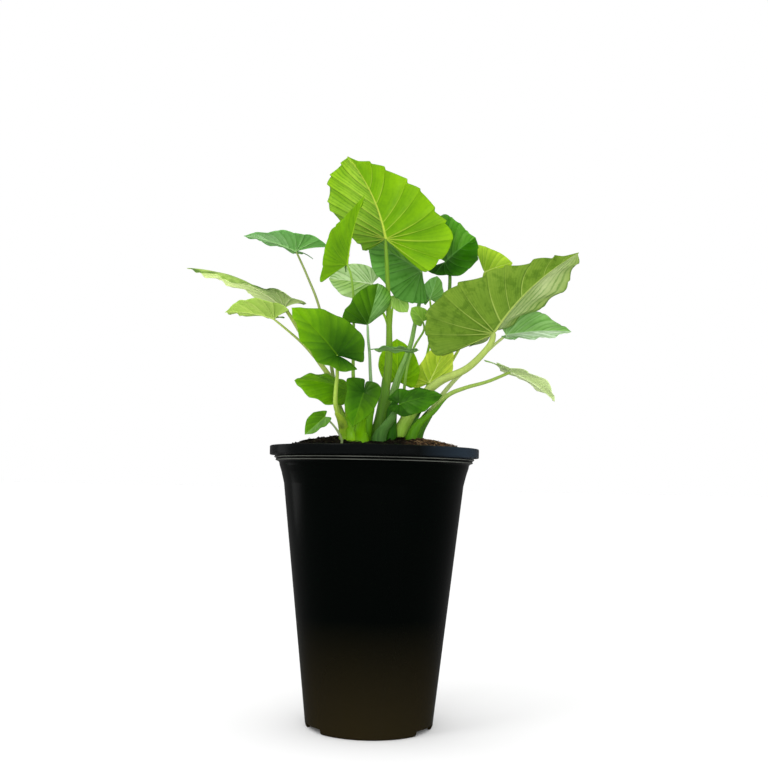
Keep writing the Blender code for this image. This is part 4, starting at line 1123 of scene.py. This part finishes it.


# What a leaf has unless its own row says otherwise: which side faces the camera, how wide the veins
# are, and how strong each kind of marking is. The fine lines of a pleated leaf run along the midrib on
# its left half, and a leaf with a shaded margin gets painted shade in patches along the margin of its
# left half. The shade near the stalk and in the bands and lines beside the veins is painted shade too.
USUAL = dict(side="upper", size=0.8, clouds=0.5, strip_shade=0.6, dark=0.4, veins=0.3, mottles_and_shade=0.0,
             base_shade=(0.3, 0.3), far=1.15, lines=(0.35, 0.35), count=2, tip=None, grain=0.3,
             midrib=0.6, patches=48.0, pleated=False, shaded_margin=False)
# The greens of leaves that lie in the shade of others, such as d, s and u, are painted paler and
# brighter, as light through the leaf.
LOOKS = {
    "a": dict(side="under", left=(112, 156, 6), right=(150, 186, 70), vein=(176, 192, 84),
              edge=(132, 176, 4), size=1.0, dark=0.6, veins=0.45, base_shade=(0.0, 0.7), count=4,
              lines=(0.2, 0.8), midrib=0.9, clouds=0.65),
    "b": dict(side="under", left=(108, 152, 6), right=(108, 152, 6), vein=(150, 184, 60),
              edge=(124, 172, 10), size=0.6, veins=0.15, dark=0.2, strip_shade=0.3,
              behind=dict(left=(110, 156, 30), right=(110, 156, 30))),
    # Leaf c's pale tip colour is a painted sheen.
    "c": dict(side="under", left=(128, 186, 104), right=(138, 190, 114), vein=(166, 204, 144),
              edge=(120, 182, 104), tip=(164, 204, 154), clouds=0.3, veins=0.5, size=0.7, grain=0.0,
              lines=(0.5, 0.8), strip_shade=0.8,
              behind=dict(left=(120, 168, 116), right=(120, 168, 116))),
    "d": dict(side="under", left=(224, 240, 168), right=(224, 240, 168), vein=(238, 244, 196),
              edge=(222, 238, 166), size=0.9, midrib=0.9, veins=0.4, clouds=0.15, strip_shade=0.3,
              lines=(0.1, 0.1), shaded_margin=True, grain=0.0,
              # The darker patches on the back of leaf d are painted shade on its curled top half.
              behind=dict(left=(172, 200, 108), right=(172, 200, 108), edge=(160, 190, 98),
                          vein=(196, 214, 130), mottles_and_shade=0.6, patches=40.0)),
    "e": dict(side="under", left=(174, 200, 104), right=(170, 200, 100), vein=(196, 214, 130),
              edge=(170, 202, 100), veins=0.4, grain=0.0, lines=(0.2, 0.2), clouds=0.3,
              behind=dict(left=(140, 176, 84), right=(140, 176, 84))),
    # Leaf f's tip colour is a painted sheen.
    "f": dict(left=(98, 150, 14), right=(76, 124, 2), vein=(112, 156, 38), edge=(112, 160, 28),
              size=0.6, base_shade=(1.0, 1.0), far=1.45, strip_shade=0.8, veins=0.0, tip=(112, 160, 36),
              dark=0.1, lines=(0.1, 0.1), midrib=0.25),
    "g": dict(left=(74, 118, 6), right=(130, 166, 108), vein=(104, 150, 70), edge=(82, 132, 16),
              size=0.6, lines=(0.3, 1.0), base_shade=(1.0, 0.6), midrib=0.3, clouds=0.8, strip_shade=0.9),
    "h": dict(left=(106, 166, 64), right=(60, 122, 14), vein=(110, 168, 84), edge=(96, 160, 58),
              size=0.8, base_shade=(0.8, 0.8), strip_shade=1.0, midrib=0.4, lines=(0.5, 0.5), clouds=0.7),
    "i": dict(left=(106, 158, 80), right=(122, 178, 74), vein=(124, 166, 104),
              edge=(100, 156, 76), lines=(0.8, 0.8), base_shade=(0.5, 0.3), midrib=0.4, clouds=0.7),
    "j": dict(side="under", left=(182, 194, 142), right=(110, 137, 53), vein=(154, 172, 92),
              edge=(122, 149, 62), size=1.0, clouds=0.6, mottles_and_shade=0.5, lines=(1.0, 0.3), dark=0.6,
              count=7, pleated=True, veins=0.6, strip_shade=0.4, midrib=0.9, patches=80.0),
    "k": dict(left=(140, 184, 112), right=(206, 222, 202), vein=(170, 204, 156),
              edge=(132, 180, 104), lines=(0.6, 1.0), clouds=0.6),
    "l": dict(left=(172, 202, 78), right=(160, 194, 60), vein=(204, 218, 124),
              edge=(180, 210, 72), size=0.7),
    "m": dict(side="under", left=(208, 226, 166), right=(206, 224, 160), vein=(226, 236, 196),
              edge=(212, 228, 170), size=0.7, lines=(0.2, 0.2), clouds=0.25, strip_shade=0.35, grain=0.0),
    "n": dict(left=(76, 118, 8), right=(64, 112, 2), vein=(92, 140, 40), edge=(80, 128, 14),
              size=0.5, base_shade=(1.0, 0.9), veins=0.0, dark=0.2, midrib=0.2, clouds=0.8),
    "o": dict(left=(92, 140, 18), right=(104, 150, 14), vein=(112, 160, 40),
              edge=(108, 158, 24), size=0.6, veins=0.15, midrib=0.3, dark=0.2, strip_shade=0.4,
              clouds=0.7),
    "p": dict(left=(112, 150, 84), right=(80, 126, 4), vein=(112, 156, 56), edge=(90, 140, 18),
              size=0.5, midrib=0.4),
    "q": dict(left=(64, 116, 4), right=(56, 106, 0), vein=(84, 138, 34), edge=(74, 128, 14),
              size=0.5, base_shade=(0.8, 0.6), mottles_and_shade=0.6, veins=0.1, midrib=0.2, clouds=0.9),
    "r": dict(side="under", left=(128, 178, 6), right=(132, 178, 40), vein=(150, 194, 50),
              edge=(136, 186, 8), size=0.7),
    "s": dict(side="under", left=(216, 234, 100), right=(210, 230, 92), vein=(228, 240, 140),
              edge=(220, 238, 98), size=0.7),
    "t": dict(side="under", left=(130, 168, 108), right=(132, 172, 104), vein=(160, 188, 140),
              edge=(130, 170, 110), size=0.7),
    "u": dict(side="under", left=(210, 234, 182), right=(180, 214, 134), vein=(224, 238, 200),
              edge=(204, 232, 172), size=0.7, lines=(0.9, 0.9), veins=0.5, clouds=0.35),
    "v": dict(left=(190, 226, 130), right=(188, 224, 126), vein=(204, 230, 150),
              edge=(196, 230, 130), size=0.5),
    "w": dict(side="under", left=(130, 178, 98), right=(134, 184, 110), vein=(156, 200, 134),
              edge=(132, 184, 104), size=0.5),
    "x": dict(left=(134, 174, 80), right=(136, 178, 76), vein=(156, 192, 90),
              edge=(142, 186, 80), size=0.5),
}
print("looks for", len(LOOKS), "leaves")

# %% [markdown]
# ## The stalks
#
# A stalk is a fleshy rod that is thick at its foot and thins toward the blade. The lower
# part is wrapped in a sheath, from which the next leaf grew. We follow the same path as
# the solid, in finer steps, and end the stalk inside the blade's midrib.

# %% The stalk's way
STALK_DEPTH, STALK_RINGS, STALK_SIDES = 24.0, 64, 20


def stalk_path(leaf):
    """The stalk's axis and its radius, from the bottom of its hole into the midrib."""
    x, y = leaf["hole"]
    ground = soil_height(x, y)
    top, thin, thick = leaf_up(leaf), leaf["stalk"][0], leaf["stalk"][1]
    at = np.array(leaf["at"], float)
    foot = np.array((x, y, ground + 2.5))
    rise = np.array(leaf["via"][-1], float) - foot
    knee = foot + 0.3 * rise + (0.0, 0.0, 0.2 * np.linalg.norm(rise[:2]))
    end = at - 0.15 * top
    above = curve_through([foot, knee, *reversed(leaf["via"]), end], 12)
    shares = np.linspace(0.0, 1.0, STALK_RINGS)
    above = spaced(above, shares)
    radii = thin + (thick - thin) * (1.0 - shares) ** 1.5
    radii[-3:] *= (0.96, 0.88, 0.7)
    bottom = np.array((x, y, ground - STALK_DEPTH + 0.4))
    below = [bottom, bottom + 0.5 * (foot - bottom)]
    return np.array([*below, *above]), np.array([thick, thick, *radii])


path, radii = stalk_path(LEAVES["a"])
print("stalk of leaf a:", round(lengths_along(path)[-1]), "mm long")

# %% The stalk's mesh and finish
def stalk_mesh(name, leaf):
    """A round tube along the stalk's way, with its place along the way kept as a mark."""
    path, radii = stalk_path(leaf)
    mesh = smooth_mesh(name, *tube(path, radii, STALK_SIDES), 60)
    ways = lengths_along(path) / lengths_along(path)[-1]
    turns = np.abs(np.sin(3 * pi * np.arange(STALK_SIDES) / STALK_SIDES))
    put_marks(mesh, {"along": np.repeat(ways, STALK_SIDES), "rib": np.tile(turns, len(path))})
    return mesh


def stalk_finish(name, green, foot):
    """A fleshy green: deeper at the foot, paler above, with fine long lines."""
    made, shader = plain_shader(name, light_of(*green)[:3], 0.4, 0.35)
    tree = shader.id_data
    pale = light_of(*(min(255, part * 1.14 + 8) for part in green))
    colour = mixed(mark_of(tree, "along").spread(0.05, 0.6), light_of(*foot), light_of(*green))
    lines = cloudy(tree, 260.0, 3.0, 0.6, (1.0, 1.0, 0.06)).spread(0.35, 0.7)
    colour = mixed(lines * 0.45, colour, pale)
    colour = mixed(mark_of(tree, "rib") * 0.18, colour, pale)
    feed(colour, shader.inputs["Base Color"])
    raised(shader, lines, 0.3, 0.0006)
    return made


# The green of each stalk near its leaf, and at its foot.
STALKS = {
    "a": ((98, 132, 44), (72, 110, 44)), "b": ((120, 156, 66), (104, 144, 44)),
    "c": ((132, 146, 88), (104, 142, 52)), "d": ((146, 164, 84), (104, 142, 48)),
    "e": ((152, 170, 92), (108, 146, 48)), "f": ((146, 172, 78), (100, 144, 44)),
    "g": ((116, 146, 100), (96, 136, 54)), "h": ((96, 136, 60), (56, 98, 20)),
    "i": ((118, 154, 84), (78, 122, 48)), "j": ((142, 160, 84), (108, 148, 60)),
    "k": ((162, 178, 112), (72, 114, 32)), "l": ((150, 172, 76), (74, 118, 30)),
    "m": ((124, 148, 72), (80, 124, 36)), "n": ((110, 150, 34), (118, 166, 26)),
    "o": ((120, 158, 44), (116, 162, 32)), "p": ((112, 128, 84), (92, 110, 62)),
    "q": ((96, 138, 58), (58, 100, 28)), "t": ((84, 122, 50), (40, 80, 12)),
    "x": ((112, 148, 64), (60, 102, 26)),
}
STALK_USUAL = ((126, 168, 52), (76, 126, 30))

# %% [markdown]
# Each new leaf grows out of the sheath of the one before it, so the feet of the stalks
# stand in thin green cups. A cup follows its stalk, wraps most of the way round it, and
# ends above in a slanting edge. We lay its wall out as a grid and give it a thickness.

# %% Sheaths round the feet
SHEATH_START, SHEATH_WRAP, SHEATH_ROWS, SHEATH_COLUMNS = -6.0, 158.0, 26, 34


def sheath_mesh(name, leaf, tall, wide, turn, slant):
    """A thin cup round a stalk's foot, as tall and as much wider as given, in mm."""
    path, radii = stalk_path(leaf)
    length = lengths_along(path) - lengths_along(path)[2]
    rows, columns = SHEATH_ROWS, SHEATH_COLUMNS
    outer, inner = [], []
    for column in range(columns + 1):
        share = 2.0 * column / columns - 1.0
        round_way = radians(turn) + share * radians(SHEATH_WRAP)
        top = tall * (1.0 - slant * share**2)
        for row in range(rows + 1):
            far = SHEATH_START + (top - SHEATH_START) * row / rows
            centre = np.array([np.interp(far, length, path[:, axis]) for axis in range(3)])
            rise = max(0.0, far / tall)
            around = np.interp(far, length, radii) * 1.04 + 0.3 + wide * (1.0 - rise) ** 0.8
            around += 0.7 * share**2 * wide * rise + 1.2 * max(0.0, row / rows - 0.85) * wide
            way = np.array((cos(round_way), sin(round_way), 0.0))
            outer.append(centre + way * around)
            inner.append(centre + way * (around - 0.25 - 0.5 * (1.0 - row / rows)))
    count, tall_row = len(outer), rows + 1
    faces = []
    for column in range(columns):
        for row in range(rows):
            a = column * tall_row + row
            b, c, d = a + tall_row, a + tall_row + 1, a + 1
            faces.append((a, b, c, d))
            faces.append((count + d, count + c, count + b, count + a))
    border = list(range(tall_row))
    border += [column * tall_row + rows for column in range(1, columns + 1)]
    border += [columns * tall_row + row for row in range(rows - 1, -1, -1)]
    border += [column * tall_row for column in range(columns - 1, 0, -1)]
    for first, second in zip(border, (*border[1:], border[0])):
        faces.append((first, second, count + second, count + first))
    mesh = smooth_mesh(name, [*outer, *inner], faces, 60)
    ways = np.tile(np.linspace(0.0, 1.0, tall_row), 2 * (columns + 1))
    lines = np.repeat(np.abs(np.sin(np.arange(columns + 1) * 1.1)), tall_row)
    put_marks(mesh, {"along": ways, "rib": np.tile(lines, 2)})
    return mesh


# Each cup: how tall, how much wider than the stalk, where its back faces in degrees,
# how slanting, and its green above and below.
SHEATHS = {
    "a": (70.0, 2.6, 200.0, 0.6, (84, 124, 44), (68, 106, 40)),
    "o": (28.0, 7.0, -100.0, 0.35, (104, 156, 30), (130, 178, 44)),
    "n": (34.0, 4.5, -60.0, 0.5, (98, 150, 30), (110, 164, 30)),
    "q": (46.0, 3.4, -130.0, 0.7, (82, 122, 60), (48, 88, 34)),
    "f": (40.0, 2.4, -120.0, 0.5, (150, 178, 70), (96, 150, 34)),
    "d": (52.0, 2.6, 170.0, 0.6, (136, 176, 66), (84, 140, 24)),
    "g": (40.0, 3.2, -90.0, 0.5, (96, 150, 40), (80, 138, 20)),
    "i": (54.0, 4.6, -70.0, 0.5, (104, 158, 60), (80, 136, 30)),
    # The very dark green of this cup is a painted shade behind the foot of leaf j.
    "t": (44.0, 5.4, -80.0, 0.55, (40, 88, 12), (30, 74, 6)),
    "j": (60.0, 2.0, -20.0, 0.6, (150, 184, 84), (110, 160, 50)),
    "m": (62.0, 3.4, 10.0, 0.6, (84, 134, 34), (58, 108, 18)),
    "k": (56.0, 3.6, 20.0, 0.5, (70, 120, 24), (50, 96, 14)),
    "h": (46.0, 4.0, 60.0, 0.5, (64, 116, 22), (46, 92, 12)),
}
print("sheaths:", len(SHEATHS))

# %% Dress every leaf
GLOSS = {"upper": 0.4, "under": 0.5}


def other_side(look):
    """The look of the side that the photo doesn't show: deeper above, paler below."""
    share = (0.66, 0.84, 0.5) if look["side"] == "under" else (1.1, 1.04, 1.1)
    added = 0 if look["side"] == "under" else 16
    names = [name for name in ("left", "right", "vein", "edge", "tip") if look[name]]
    turned = {name: tuple(min(232, part * by + added) for part, by in zip(look[name], share))
              for name in names}
    return {**look, **turned, **look.get("behind", {})}


for key, leaf in LEAVES.items():
    look = {**USUAL, **LOOKS[key]}
    side, behind = ("upper", "under") if look["side"] == "upper" else ("under", "upper")
    finishes = {side: leaf_finish(f"leaf_{key}_{side}", look, GLOSS[side]),
                behind: leaf_finish(f"leaf_{key}_{behind}", other_side(look), GLOSS[behind])}
    mesh = blade_mesh(f"leaf_{key}_blade_veined", key)
    add_piece(f"leaf_{key}_blade_veined", mesh, [finishes["upper"], finishes["under"]],
              f"leaf_{key}_blade")
    stalk = stalk_mesh(f"leaf_{key}_stalk_fleshy", leaf)
    stalk_green = stalk_finish(f"stalk_{key}", *STALKS.get(key, STALK_USUAL))
    add_piece(f"leaf_{key}_stalk_fleshy", stalk, [stalk_green], f"leaf_{key}_stalk")
    if key in SHEATHS:
        *shape, green, foot = SHEATHS[key]
        add_piece(f"leaf_{key}_sheath", sheath_mesh(f"leaf_{key}_sheath", leaf, *shape),
                  [stalk_finish(f"sheath_{key}", green, foot)], None)
    print("leaf", key, "faces:", len(mesh.polygons), "and", len(stalk.polygons))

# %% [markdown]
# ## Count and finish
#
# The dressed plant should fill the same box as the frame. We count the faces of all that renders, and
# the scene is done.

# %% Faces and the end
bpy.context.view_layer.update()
faces_in_all = sum(len(item.data.polygons) for item in bpy.data.objects
                   if item.type == "MESH" and not item.hide_render)
print("faces in all:", faces_in_all)
